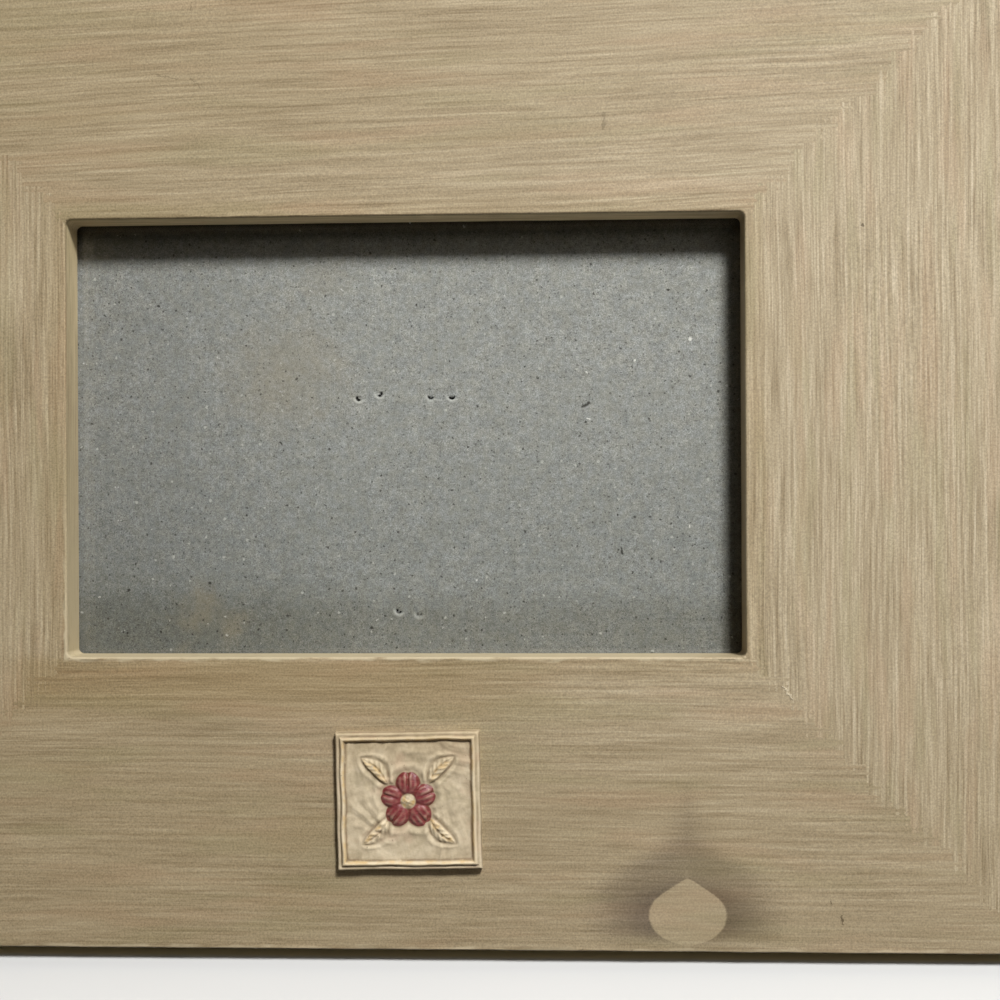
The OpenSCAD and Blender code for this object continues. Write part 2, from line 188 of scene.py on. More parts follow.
class Amount:
    """A number at each point of a surface. Amounts add, take away, multiply and compare as numbers do."""

    # Numpy's own numbers then leave a sum with an amount to the amount
    __array_ufunc__ = None

    def __init__(self, finish, socket):
        self.finish = finish
        self.socket = socket

    def math(self, operation, *values):
        """An amount worked out from amounts and plain numbers."""
        return self.finish.number("Math", dict(enumerate(values)), operation=operation)

    def __add__(self, other):
        return self.math("ADD", self, other)

    def __sub__(self, other):
        return self.math("SUBTRACT", self, other)

    def __rsub__(self, other):
        return self.math("SUBTRACT", other, self)

    def __mul__(self, other):
        return self.math("MULTIPLY", self, other)

    def __pow__(self, other):
        return self.math("POWER", self, other)

    def __abs__(self):
        return self.math("ABSOLUTE", self)

    def __gt__(self, other):
        return self.math("GREATER_THAN", self, other)

    def __lt__(self, other):
        return self.math("LESS_THAN", self, other)

    __radd__ = __add__
    __rmul__ = __mul__

    def at_least(self, other):
        """The larger of two numbers."""
        return self.math("MAXIMUM", self, other)

    def at_most(self, other):
        """The smaller of two numbers."""
        return self.math("MINIMUM", self, other)

    def step(self, low, high):
        """0 below low and 1 above high, with a smooth rise between them, or a fall where low is higher."""
        return self.finish.number("MapRange", {0: self, 1: low, 2: high}, interpolation_type="SMOOTHSTEP")

    def between(self, first, second):
        """A number between two numbers, by this share."""
        return self.finish.number("Mix", {0: self, 2: first, 3: second}, data_type="FLOAT")

    def ramp(self, *stops):
        """Colours along a scale from 0 to 1."""
        socket = self.finish.node("ValToRGB", {0: self})
        elements = socket.node.color_ramp.elements
        while len(elements) < len(stops):
            elements.new(0.5)
        for element, (place, colour) in zip(elements, stops):
            element.position = place
            element.color = colour
        return socket

    def curve(self, points):
        """A number read from a smooth curve through points between 0 and 1."""
        made = self.finish.number("FloatCurve", {1: self})
        mapping = made.socket.node.mapping
        for point, place in zip(mapping.curves[0].points, (points[0], points[-1])):
            point.location = place
        for place in points[1:-1]:
            mapping.curves[0].points.new(*place)
        mapping.update()
        return made


class Finish:
    """A material, or a room's light, that is built up coat by coat."""

    def __init__(self, name, kind="materials"):
        self.made = getattr(bpy.data, kind).new(name)
        self.made.use_nodes = True
        self.tree = self.made.node_tree
        self.tree.nodes.clear()
        self.colour = None

    def node(self, kind, inputs, out=0, **settings):
        """A shader node's output. Its sockets take plain values, amounts or other nodes' outputs."""
        made = self.tree.nodes.new("ShaderNode" + kind)
        for key, value in settings.items():
            setattr(made, key, value)
        for key, value in inputs.items():
            value = value.socket if isinstance(value, Amount) else value
            if isinstance(value, bpy.types.NodeSocket):
                self.tree.links.new(value, made.inputs[key])
            else:
                made.inputs[key].default_value = value
        return made.outputs[out]

    def number(self, kind, inputs, **settings):
        """A shader node's output as an amount."""
        return Amount(self, self.node(kind, inputs, **settings))

    def measure(self, operation, *points):
        """An amount worked out from points."""
        return self.number("VectorMath", dict(enumerate(points)), out="Value", operation=operation)

    def attribute(self, name):
        """A share that the mesh keeps at its points."""
        return self.number("Attribute", {}, out="Fac", attribute_name=name)

    def ray(self, kind):
        """1 for rays of one kind and 0 for others."""
        return self.number("LightPath", {}, out=kind)

    def upright(self):
        """The surface point in upright millimetres."""
        point = self.node("TexCoord", {}, out="Object")
        shift = tuple(-FRONT_EDGE / MM)
        return self.node("Mapping", {"Vector": point, "Location": shift, "Rotation": (lean, 0, 0),
                                     "Scale": (1 / MM, 1 / MM, 1 / MM)})

    def split(self, point):
        """A point's three coordinates."""
        return [Amount(self, socket) for socket in self.node("SeparateXYZ", {0: point}).node.outputs]

    def join(self, x, y):
        """A point of a flat surface."""
        return self.node("CombineXYZ", {0: x, 1: y})

    def noise(self, point, size, detail=2.0, rough=0.5, at=(0, 0, 0)):
        """Soft noise, 0 to 1 about 0.5, whose lumps are about size long, in millimetres along each axis. Two
        sizes make it flat."""
        sizes = (size,) * 3 if np.isscalar(size) else size
        scale = tuple(1 / s for s in sizes) + (1.0,) * (3 - len(sizes))
        point = self.node("Mapping", {"Vector": point, "Location": at, "Scale": scale})
        return self.number("TexNoise", {"Vector": point, "Scale": 1.0, "Detail": detail, "Roughness": rough},
                           noise_dimensions=f"{len(sizes)}D")

    def ruffled(self, flat, size, reach):
        """Flat coordinates shifted by up to reach, by noise with lumps of about size, so that outlines drawn
        on them are uneven."""
        shift = self.node("TexNoise", {"Vector": flat, "Scale": 1 / size, "Detail": 2.0}, out="Color",
                          noise_dimensions="2D")
        shift = self.node("VectorMath", {0: shift, 1: (0.5, 0.5, 0.5)}, operation="SUBTRACT")
        both_ways = (2 * reach, 2 * reach, 0.0)
        return self.node("VectorMath", {0: shift, 1: both_ways, 2: flat}, operation="MULTIPLY_ADD")

    def mark(self, flat, start, end, width):
        """1 on a straight mark between two points of a flat surface, and 0 beyond its width."""
        run = Vector(end) - Vector(start)
        offset = self.node("VectorMath", {0: flat, 1: (*start, 0)}, operation="SUBTRACT")
        share = self.measure("DOT_PRODUCT", offset, (*(run / run.length_squared), 0))
        share = self.node("Clamp", {0: share})
        nearest = self.node("VectorMath", {0: (*run, 0), "Scale": share}, operation="SCALE")
        return self.measure("DISTANCE", offset, nearest).step(width, 0.3 * width)

    def specks(self, flat, spacing, radius, share, at=0):
        """Round flecks on a flat surface, 1 inside and 0 outside: of the points spaced about so far apart, a
        share has a fleck, of up to that radius."""
        closer = {"Vector": flat, "Location": (at, at / 2, 0), "Scale": (1 / spacing,) * 3}
        inputs = {"Vector": self.node("Mapping", closer), "Scale": 1.0}
        apart = self.number("TexVoronoi", inputs, out="Distance", voronoi_dimensions="2D")
        chance, size, _ = self.split(apart.socket.node.outputs["Color"])
        edge = (0.3 + 0.7 * size) * (radius / spacing)
        soft = 0.2 * radius / spacing
        return (apart - edge).step(soft, -soft) * (chance < share)

    def within(self, outline, aside, above):
        """How far inside an outline a point is. The outline is half a width at each height: that less the
        distance aside, and no more than the distance to the top."""
        bottom, top = outline[0][0], outline[-1][0]
        widest = max(half for _, half in outline)
        points = [((up - bottom) / (top - bottom), half / widest) for up, half in outline]
        height = self.number("MapRange", {0: above, 1: bottom, 2: top})
        return (height.curve(points) * widest - aside).at_most(top - above)

    def mix(self, share, first, second, how="MIX"):
        """One colour over another by a share from 0 to 1."""
        return self.node("Mix", {0: share, 6: first, 7: second}, out=2, data_type="RGBA", blend_type=how)

    def coat(self, colour, share, how="MIX"):
        """Lays a colour on the coats so far, by a share from 0 to 1."""
        self.colour = self.mix(share, self.colour, colour, how)

    def shade(self, colour, share):
        """Dims the coats so far by a colour."""
        self.coat(colour, share, "MULTIPLY")

    def marks(self, flat, runs, colour, strength):
        """Lays a colour on straight marks, each given by two ends and a width."""
        for run in runs:
            self.coat(colour, strength * self.mark(flat, *run))

    def surface(self, roughness, height, depth, **sockets):
        """The finished surface, with a relief whose height from 0 to 1 stands for a depth in millimetres.
        Sockets are named in words, with _ for a space."""
        relief = self.node("Bump", {"Height": height, "Distance": depth * MM, "Strength": 1.0})
        inputs = {"Base Color": self.colour, "Roughness": roughness, "Normal": relief}
        inputs.update({key.replace("_", " "): value for key, value in sockets.items()})
        return self.done(self.node("BsdfPrincipled", inputs))

    def done(self, shader, output="OutputMaterial"):
        """The material or room with its shader joined to its output."""
        self.tree.links.new(shader, self.tree.nodes.new("ShaderNode" + output).inputs["Surface"])
        return self.made


# Brush marks: length and width in millimetres
BRUSH_END = (1.3, 400)
BROAD_MARK = (60, 3.2)
BRISTLE_MARK = (30, 0.62)
FINE_MARK = (6, 0.3)
DARK_LINE = (26, 0.42)
PALE_LINE = (22, 0.38)
# In millimetres, how ragged strokes end at a mitre and how far they drift, then their slope on the top rail
MITRE_RAGGED = 12.0
DRIFT = 1.5
TOP_SLOPE = -0.035
# The glaze from thick to thin, and what else shows
GLAZE = [(0.34, tint(140, 124, 97)), (0.5, tint(167, 152, 125)), (0.66, tint(190, 176, 150))]
UMBER = tint(118, 103, 76)
THIN_GLAZE = tint(204, 191, 165)
ROSE = tint(176, 148, 120)
OLIVE = tint(152, 145, 110)
CREAM = tint(198, 185, 155)
PALE_DROP_PAINT = tint(176, 160, 131)
BARE_BOARD = [(0.3, tint(126, 102, 74)), (0.5, tint(138, 113, 84)), (0.7, tint(151, 126, 96))]
# The dark mark: a paler drop in a dark onion shape, on the bottom rail. Half its width at heights over the
# widest point, then a pale streak over the drop by two ends and a width, in millimetres
MARK_AT = (58.7, 8.1)
DROP = [(-6.9, 0), (-5.4, 4.6), (-4.6, 5.8), (-3.2, 7.1), (-1.9, 7.7), (0, 7.95), (2.15, 7.1), (3.5, 5.75),
        (4.8, 3.95), (6.1, 2.0), (6.75, 1.0), (7.1, 0)]
ONION = [(-9.5, 17), (-4, 19.5), (0, 19.7), (4.8, 18.4), (9.4, 14), (11.5, 10), (14.8, 5.5), (17, 3.5),
         (20, 2.4), (26, 0)]
PALE_STREAK = ((58.7, 14.6), (58.4, 16.7), 0.5)


def onion_mark(glaze, x, y, z, stroke):
    """Darkens the paint in the onion's shape, fading out along the strokes and darkest beside the drop, and
    lays paler paint inside the drop and its streak."""
    right = x - MARK_AT[0]
    above = z - MARK_AT[1]
    in_drop = glaze.within(DROP, abs(right), above)
    in_onion = glaze.within(ONION, right.at_least(-0.95 * right), above)
    spread = in_onion + 4 * (glaze.noise(stroke, (16, 3), at=(6, 3, 0)) - 0.5)
    beside = in_drop.step(-9, 0) * above.step(9, 3)
    on_face = y.step(2, 0.5)
    halo = spread.step(-3, 7) * in_drop.step(0.3, -0.35) * (0.52 + 0.38 * beside) * above.step(-8.2, -2.8)
    mark_tone = glaze.mix(right.step(-6, 8), tint(168, 166, 174), tint(170, 165, 163))
    glaze.shade(mark_tone, halo * on_face)
    pale_streak = glaze.mark(glaze.join(x, z), *PALE_STREAK)
    glaze.coat(PALE_DROP_PAINT, 0.2 * (in_drop.step(-0.2, 0.4) * on_face + 0.8 * pale_streak))


# Knocks in the paint: two ends and a width in millimetres
SCRATCHES = [((-51.2, 183.0), (-46.8, 182.1), 0.22), ((-44.1, 182.1), (-42.2, 180.4), 0.2),
             ((-44.0, 198.2), (-44.1, 196.6), 0.25), ((42.2, 173.6), (42.1, 170.4), 0.45)]
CHIPS = [((90.15, 7.6), (90.55, 6.0), 0.27), ((88.0, 10.9), (88.1, 10.3), 0.25),
         ((95.2, 149.9), (95.2, 149.7), 0.35), ((36.0, 0.2), (36.8, 0.1), 0.3),
         ((47.2, 0.3), (47.0, -0.6), 0.35)]
PAINT_RIDGE = ((78.5, 54.9), (80.3, 52.4), 0.3)


def dragged_glaze():
    """Taupe glaze over cream. Strokes are noise drawn out along each moulding: the nearest edge says which
    way a moulding runs, with a ragged change at the mitres. The bare back shows fibre."""
    glaze = Finish("dragged_glaze")
    place = glaze.upright()
    x, y, z = glaze.split(place)
    flat = glaze.join(x, z)
    height = z - FRAME_H / 2
    from_side = FRAME_W / 2 - abs(x)
    from_end = FRAME_H / 2 - abs(height)
    from_outside = from_side.at_most(from_end)
    from_window = (abs(x) - WINDOW_W / 2).at_least(abs(height) - WINDOW_H / 2)

    # Which way the brush went, and the strokes' own coordinates
    brush_ends = glaze.noise(glaze.join(from_end, height), BRUSH_END)
    brush_ends = brush_ends + glaze.noise(glaze.join(from_side, height), BRUSH_END, at=(7, 3, 0))
    level = from_side - from_end + MITRE_RAGGED * (brush_ends - 1) > 0
    upper = height.step(0, 60)
    along = level.between(z, x)
    across = level.between(x, z) + y + TOP_SLOPE * level * upper * along
    across = across + DRIFT * glaze.noise(glaze.join(along, across), (70, 26), 1)
    along = along * level.between(1.15, upper.between(1.0, 0.8))
    across = across * level.between(1.05, 0.75) + 500 * level
    stroke = glaze.join(along, across)

    # Three widths of bristle mark, softer beside the window, then the odd dark and pale line
    bristle = glaze.noise(stroke, BRISTLE_MARK, 3, 0.6, at=(3, 5, 0))
    fine = glaze.noise(stroke, FINE_MARK, at=(9, 2, 0))
    tone = 0.14 * glaze.noise(stroke, BROAD_MARK) + 0.62 * bristle + 0.24 * fine
    firm = from_window.step(0.3, 4).between(0.75, level.between(1.0, upper.between(0.66, 0.74)))
    firm = firm * glaze.noise(place, (38, 38, 20), 1, at=(5, 5, 0)).step(0.35, 0.65).between(0.8, 1.1)
    tone = 0.5 + firm * (tone - 0.5)
    glaze.colour = tone.ramp(*GLAZE)
    glaze.coat(UMBER, 0.4 * firm * glaze.noise(stroke, DARK_LINE, at=(4, 4, 0)).step(0.64, 0.78))
    glaze.coat(THIN_GLAZE, 0.42 * firm * glaze.noise(stroke, PALE_LINE, at=(2, 6, 0)).step(0.62, 0.78))

    # Pink and olive where the coats mix; painted shade left and on the rails; thicker glaze by the window
    glaze.coat(ROSE, 0.25 * glaze.noise(stroke, (40, 4.5), at=(5, 1, 0)).step(0.5, 0.72))
    glaze.coat(OLIVE, 0.25 * glaze.noise(stroke, (44, 5), at=(8, 8, 0)).step(0.5, 0.72))
    on_rail = abs(height).step(WINDOW_H / 2, (WINDOW_H + RAIL_W) / 2)
    # Painted shade: darker to the left as the lamp's light falls off, and on the rails
    glaze.shade(tint(231, 227, 217), 0.2 * level + 0.75 * x.step(120, -150) + 0.4 * on_rail)
    below = height.step(2 - WINDOW_H / 2, -2 - WINDOW_H / 2) * from_window.step(16, 6) * x.step(50, 0)
    glaze.shade(tint(240, 234, 220), below.at_least(0.5 * from_window.step(7, 0.5)))
    grain = glaze.noise(place, 0.42, 2, 0.7)
    glaze.coat(grain.ramp((0.3, tint(163, 163, 163)), (0.7, tint(211, 211, 211))), 0.8, "OVERLAY")

    # The dark onion mark, then knocks with uneven outlines
    onion_mark(glaze, x, y, z, stroke)
    knocked = glaze.ruffled(flat, 0.77, 0.55)
    glaze.marks(knocked, SCRATCHES, tint(92, 79, 56), 0.4)
    glaze.marks(knocked, CHIPS, tint(66, 52, 32), 0.75)
    # The ridge's pale colour is a painted highlight on the ridge of paint at the mitre
    ridge = glaze.mark(knocked, *PAINT_RIDGE)
    glaze.coat(tint(222, 209, 180), 0.5 * ridge)

    # Rubbed edges show the cream coat; lip's inner faces: painted light at the top, painted shade at the right
    worn = 2.2 * glaze.noise(stroke, (6, 1.2)) - 0.7
    rubbed = (from_window.at_most(from_outside) - worn).step(0.5, -0.3)
    # Along the window's bottom edge, lit from above, the cream is partly wear and partly a painted highlight
    low_edge = height.step(0, -WINDOW_H / 2) * x.step(70, 54).between(0.1, 0.6)
    glaze.coat(CREAM, rubbed * from_window.step(5, 1).between(0.5, low_edge))
    inner = from_window.step(0.3, 0.05) * y.step(0.4, 1.5)
    # Painted light on the top lip's shaded underside, and painted shade on the right lip's face
    lip = glaze.mix(upper, tint(180, 165, 131), tint(224, 205, 162))
    lip = glaze.mix(x.step(WINDOW_W / 2 - 1, WINDOW_W / 2 - 0.3), lip, tint(143, 123, 88))
    glaze.coat(lip, inner * tone.step(0.25, 0.7))

    # The bare board behind, with paint run over its outer edges
    fibre = glaze.noise(place, (0.9, 0.5, 0.5), 3, 0.6)
    felted = glaze.noise(place, (30, 30, 22), 3, 0.6, at=(3, 3, 3)).step(0.4, 0.7)
    board = glaze.mix(0.35 * felted, fibre.ramp(*BARE_BOARD), tint(122, 98, 70))
    overrun = 6 * glaze.noise(flat, (3, 3), 3, 0.7) - 1.6
    bare = y.step(RAIL_T - 0.5, RAIL_T - 0.25) * (from_outside - overrun).step(-0.2, 0.2)
    glaze.coat(board, bare)
    relief = bare.between(0.7 * bristle + 0.4 * fine + 2.5 * ridge, 0.12 * fibre)
    return glaze.surface(fine.between(0.66, 0.52), relief, 0.035, Specular_IOR_Level=0.3)


def rail_points(length):
    """A moulding's section carried from mitre to mitre, on a grid of places along it by points round its
    section. A point at a distance d from the outer edge runs between plus and minus half the length less
    d. The arrises wander in radius, and the window's corners are filled to a small radius, which shortens
    the lip's runs by what it fills at the mitre."""
    # Places from the middle to an end, closer together over the last tenth
    ends = np.concatenate([np.linspace(0, 0.9, 110), 1 - 0.1 * np.linspace(1, 0, 42)[1:] ** 1.6])
    share = np.concatenate([-ends[::-1], ends[1:]])[:, None]
    arris = ARRIS_R * (1 + 0.12 * wander(share * length / 2, share * 0, 14, 3))
    arc = np.linspace(0, math.pi / 2, 6)
    face = np.linspace(0, 1, 60)[1:-1]
    one = np.ones_like(share)

    def straight(d0, y0, d1, y1, count):
        """A straight part of the section between two points."""
        part = np.linspace(0, 1, count)
        return (d0 + (d1 - d0) * part) * one, (y0 + (y1 - y0) * part) * one

    back = RAIL_T - BACK_SHY
    rabbet = RAIL_W - LIP_W
    runs = [
        straight(0, back, 0, 2 * ARRIS_R, 8),
        (arris * (1 - np.cos(arc)), arris * (1 - np.sin(arc))),
        (arris + (RAIL_W - 2 * arris) * face, 0 * one + 0 * face),
        (RAIL_W - arris * (1 - np.sin(arc)), arris * (1 - np.cos(arc))),
        straight(RAIL_W, 2 * ARRIS_R, RAIL_W, LIP_T, 5),
        straight(RAIL_W - 1, LIP_T, rabbet, LIP_T, 4),
        straight(rabbet, LIP_T + 1, rabbet, back, 4),
        straight(rabbet - 1, back, 1, back, 20),
    ]
    d, y = (np.concatenate(part, 1) for part in zip(*runs))
    half = length / 2
    at_mitre = CORNER_R * math.sqrt(0.5)
    filled = np.clip((d - RAIL_W + FILLET_REACH) / FILLET_REACH, 0, 1) * (y < LIP_T + 0.5)
    along = share * (half - d - (CORNER_R - at_mitre) * filled)
    into = np.clip(np.abs(along) - half + RAIL_W + CORNER_R, 0, at_mitre)
    fill = CORNER_R - np.sqrt(CORNER_R ** 2 - into ** 2)
    return along, y, d + fill * filled


paint_finish = dragged_glaze()
# Each moulding's direction, its length, and the frame's size across it
SIDES = {"bottom_rail": ((1, 0), FRAME_W, FRAME_H), "right_stile": ((0, 1), FRAME_H, FRAME_W),
         "top_rail": ((-1, 0), FRAME_W, FRAME_H), "left_stile": ((0, -1), FRAME_H, FRAME_W)}
for side, ((cos, sin), length, span) in SIDES.items():
    along, y, d = rail_points(length)
    x = along * cos - (d - span / 2) * sin
    z = along * sin + (d - span / 2) * cos + FRAME_H / 2
    on_face = (y < ARRIS_R) & (d > ARRIS_R) & (d < RAIL_W - ARRIS_R)
    y = y + on_face * FACE_DIP * (1 + wander(x, z, 40, 5))
    moulding = make_piece(side + "_moulding", *close_ends(np.stack([x, y, z], -1)), paint_finish)
    fit(moulding, side)


# The eight V nails: steel strip bent to a V, two across the back of each mitre. They are driven in until
# they lie flush, and draw the glued mitres together.
def dress(name, material, edge=0.0, segments=2):
    """Gives a CAD node its finish, with its loose faces joined and its edges rounded, in millimetres."""
    node = nodes[name]
    node.data.materials.clear()
    node.data.materials.append(material)
    weld = node.modifiers.new("joined", "WELD")
    weld.merge_threshold = 0.002 * MM
    if edge:
        flats = node.modifiers.new("flats", "DECIMATE")
        flats.decimate_type = "DISSOLVE"
        flats.angle_limit = math.radians(0.5)
        bevel = node.modifiers.new("softened", "BEVEL")
        bevel.width = edge * MM
        bevel.segments = segments
        bevel.limit_method = "ANGLE"
        bevel.angle_limit = math.radians(40)
        shading = node.modifiers.new("shaded", "WEIGHTED_NORMAL")
        shading.weight = 100


def plain_metal(name, dark, light, tarnish, roughness, wear=2.0):
    """Worn metal: two tones in clouds of about wear across, smoother where it is light, and spots of
    tarnish."""
    metal = Finish(name)
    place = metal.upright()
    cloud = metal.noise(place, wear, 4, 0.6)
    metal.colour = cloud.ramp((0.3, tint(*dark)), (0.65, tint(*light)))
    metal.coat(tint(*tarnish), 0.5 * metal.noise(place, 0.9, 3, 0.7, at=(4, 1, 6)).step(0.6, 0.72))
    scratch = metal.noise(place, (3, 3, 0.08), 2, 0.6)
    return metal.surface(cloud.between(roughness + 0.14, roughness - 0.06), scratch, 0.01, Metallic=1.0)


dress("corner_v_nails", plain_metal("nail_steel", (108, 108, 108), (150, 150, 148), (98, 72, 52), 0.42), 0.1)


# The ornament tile: a square cast in plaster, glued to the bottom rail a little off square. A stepped border
# frames a hand-worked field with a crimson rosette and four leaves, touched with ochre and toned with a
# brown wash that stays in the hollows.
TILE_W = 30.0
TILE_H = 28.5
TILE_TURN = math.radians(1.0)
TILE_GRID = 0.125
tile_low, tile_high = upright_box("ornament_tile")
TILE_X, _, TILE_Z = (tile_low + tile_high) / 2
# Heights over the rail and the field's dip at the bead, the bead's place and reach from the tile's edge, and
# that edge's radius
BEAD_T = -tile_low[1]
LEDGE_T = 2.2
FIELD_T = 2.0
FIELD_DIP = 0.12
BEAD_AT = 1.35
BEAD_REACH = 0.5
EDGE_R = 0.5
PETALS = 5
PETAL_R = 2.7
PETAL_RING = 3.4
PETAL_RISE = 0.95
BUD_R = 1.5
LEAVES = 4
LEAF_AT = 9.2
LEAF_ARC = 6.0
LEAF_HALF = 4.0
LEAF_RISE = 0.6
# A broken bit of the border: two ends and a width in millimetres
BROKEN_EDGE = ((TILE_X + 13.1, TILE_Z - 13.2), (TILE_X + 14.4, TILE_Z - 13.15), 0.2)


def rise(value, low, high):
    """0 below low and 1 above high, with a smooth rise between them."""
    share = np.clip((value - low) / (high - low), 0, 1)
    return share * share * (3 - 2 * share)


def hump(value, width):
    """A bell curve, 1 at zero, that has fallen to a third at width."""
    return np.exp(-(value / width) ** 2)


def soften(height, reach):
    """A height field blurred along both axes by a bell curve that reaches some grid steps."""
    kernel = hump(np.arange(-3 * reach, 3 * reach + 1), 1.4 * reach)
    kernel /= kernel.sum()
    for axis in (0, 1):
        padded = np.pad(height, [(3 * reach, 3 * reach) if i == axis else (0, 0) for i in (0, 1)], "edge")
        height = np.apply_along_axis(np.convolve, axis, padded, kernel, "valid")
    return height


def close_behind(front, back_y):
    """A closed slab from a grid of points that faces one way: its border runs straight back to a flat face
    at y = back_y, a fan about its middle."""
    rows, cols, _ = front.shape
    index = np.arange(rows * cols).reshape(rows, cols)
    border = np.concatenate([index[0, :-1], index[:-1, -1], index[-1, :0:-1], index[:0:-1, 0]])
    points = front.reshape(-1, 3)
    rim = points[border].copy()
    rim[:, 1] = back_y
    ring = rows * cols + np.arange(len(border))
    skirt = np.stack([np.roll(border, -1), border, ring, np.roll(ring, -1)], -1)
    back = fan(ring[::-1], rows * cols + len(border))
    return np.concatenate([points, rim, [rim.mean(0)]]), [grid_faces(rows, cols), skirt, back]


def add_shares(piece, **shares):
    """Shares from 0 to 1 on a slab's face grid as attributes that its finish reads. They are 0 on its rim."""
    for label, share in shares.items():
        values = np.zeros(len(piece.data.vertices), np.float32)
        values[:share.size] = np.clip(share, 0, 1).ravel()
        piece.data.attributes.new(label, "FLOAT", "POINT").data.foreach_set("value", values)


def out_and_over(u, v, angle, start):
    """How far points are beyond start in the direction of an angle, and how far to its left."""
    cos, sin = math.cos(angle), math.sin(angle)
    return u * cos + v * sin - start, v * cos - u * sin


def rosette(u, v):
    """A rosette's height, how far points are beyond its petals, and its shares of crimson and ochre. A petal
    is a dome with a crease, slightly different in size and heading from the next, and the bud is a dome
    with a grid of seeds."""
    petal = np.zeros_like(u)
    gap = np.full_like(u, TILE_W)
    for i in range(PETALS):
        angle = math.pi / 2 + i * math.tau / PETALS + 0.06 * math.sin(2.3 * i)
        radius = PETAL_R * (1 + 0.05 * math.sin(4.1 * i + 1))
        out, over = out_and_over(u, v, angle, PETAL_RING)
        apart = np.hypot(out, over * 1.05) + 0.35 * hump(over, 0.55) * rise(out, 0.6, 2.6)
        dome = PETAL_RISE * np.clip(1 - (apart / radius) ** 2, 0, 1) ** 0.5
        crease = 0.34 * hump(over, 0.26) * rise(out, -2.0, 1.2) + 0.2 * rise(apart, 1.5, 2.5)
        crease = crease + 0.06 * np.cos(over * 5.5) * rise(out, -1.6, 0.8)
        petal = np.maximum(petal, dome - crease * (dome > 0))
        gap = np.minimum(gap, apart - radius)
    reach = np.hypot(u, v)
    crimson = rise(-gap, -0.02, 0.14) * rise(reach, BUD_R - 0.1, BUD_R + 0.25)
    bud = 0.95 * np.clip(1 - (reach / (BUD_R + 0.15)) ** 2, 0, 1) ** 0.4
    seeds = 0.1 * np.cos(u * 6.5 + v * 2) * np.cos(v * 6.5 - u * 2)
    height = np.maximum(petal, bud + seeds * (bud > 0.5))
    return height, np.maximum(gap, 0), crimson, rise(BUD_R - reach, -0.1, 0.3)


def corner_leaves(u, v):
    """Four leaves' height, the trough and swell of the plaster round them, and their share of ochre. A leaf
    is the lens between two arcs, with a midrib and veins. They lie on the diagonals, each bent the other
    way from its neighbours."""
    leaf = np.zeros_like(u)
    trough = np.zeros_like(u)
    ochre = np.zeros_like(u)
    leaf_chord = math.sqrt(LEAF_ARC ** 2 - LEAF_HALF ** 2)
    for i in range(LEAVES):
        way = 1 if i % 2 else -1
        out, over = out_and_over(u, v, (i + 0.5) * math.tau / LEAVES, LEAF_AT)
        over = over + 0.5 * way * (np.cos(out * 0.55) - 0.4)
        inside = np.sqrt(np.clip(LEAF_ARC ** 2 - out ** 2, 0, None)) - leaf_chord - np.abs(over)
        body = LEAF_RISE * rise(inside, -0.05, 0.35) * (1 + 0.3 * over * way) + 0.15 * rise(inside, 0.3, 1.0)
        midrib = 0.32 * hump(over, 0.15) * rise(inside, 0.1, 0.5)
        veins = 0.09 * np.cos((out - 1.2 * np.abs(over)) * 4.6) * rise(inside, 0.1, 0.4)
        leaf = np.maximum(leaf, body - midrib + veins * (inside > 0))
        near = np.maximum(-inside, 0)
        beside = rise(LEAF_HALF + 1.0 - np.abs(out), 0, 1.4)
        trough = trough - 0.32 * hump(near, 0.26) * beside + 0.15 * hump(near - 1.0, 0.42) * beside
        ochre = np.maximum(ochre, rise(inside, 0.1, 0.5) * rise(over * way, -0.9, 0.5))
    return leaf, trough, ochre


def tile_relief(u, v):
    """The tile's height over its middle's right and up, with the shares of crimson and ochre. The border is
    a rounded ledge, a groove and a bead of half an ellipse. Inside it the ornament stands in troughs of
    worked plaster, which swirls round the rosette."""
    inset = np.minimum(TILE_W / 2 - np.abs(u), TILE_H / 2 - np.abs(v))
    uneven = inset + 0.07 * wander(u, v, 9, 21) * rise(inset, 0.2, 0.8)
    round_off = EDGE_R - np.sqrt(EDGE_R ** 2 - (EDGE_R - np.minimum(inset, EDGE_R)) ** 2)
    ledge = LEDGE_T - round_off + 0.05 * wander(u, v, 6, 22)
    bead = np.sqrt(np.clip(1 - ((uneven - BEAD_AT) / BEAD_REACH) ** 2, 0, 1))
    groove = 0.22 * hump(uneven - BEAD_AT + BEAD_REACH, 0.13) * (1 + 0.5 * wander(u, v, 8, 25))
    border = ledge + (BEAD_T - LEDGE_T) * bead * (uneven > BEAD_AT - BEAD_REACH) - groove

    flower, off_rose, crimson, gilt_bud = rosette(u, v)
    leaf, trough, gilt_leaf = corner_leaves(u, v)
    worked = FIELD_T + 0.05 * wander(u, v, 8, 23)
    worked = worked + 0.035 * wander(u, v, 2.6, 27) + 0.02 * wander(u, v, 1.2, 28)
    swirl = np.sin(np.arctan2(v, u) * 9 + off_rose * 1.7 + 2.5 * wander(u, v, 11, 26))
    worked = worked - 0.28 * hump(off_rose, 0.4) + 0.2 * hump(off_rose - 1.35, 0.6) + trough
    worked = worked + 0.1 * swirl * np.abs(swirl) * rise(off_rose, 1.0, 2.6)
    field = worked + np.maximum(leaf, flower)

    # The field runs up to the bead's inner side, and the bead is gilt there
    foot = FIELD_T - FIELD_DIP
    inner = foot + (BEAD_T - foot) * bead
    by_bead = np.maximum(inner, field - FIELD_DIP * hump(uneven - BEAD_AT - BEAD_REACH, 0.2))
    height = np.where(uneven < BEAD_AT, border, by_bead)
    gilt_bead = 0.9 * hump(uneven - BEAD_AT - 0.25, 0.35)
    ochre = np.max([0.9 * gilt_leaf, gilt_bead, gilt_bud], 0)
    return soften(height, 1), crimson, ochre


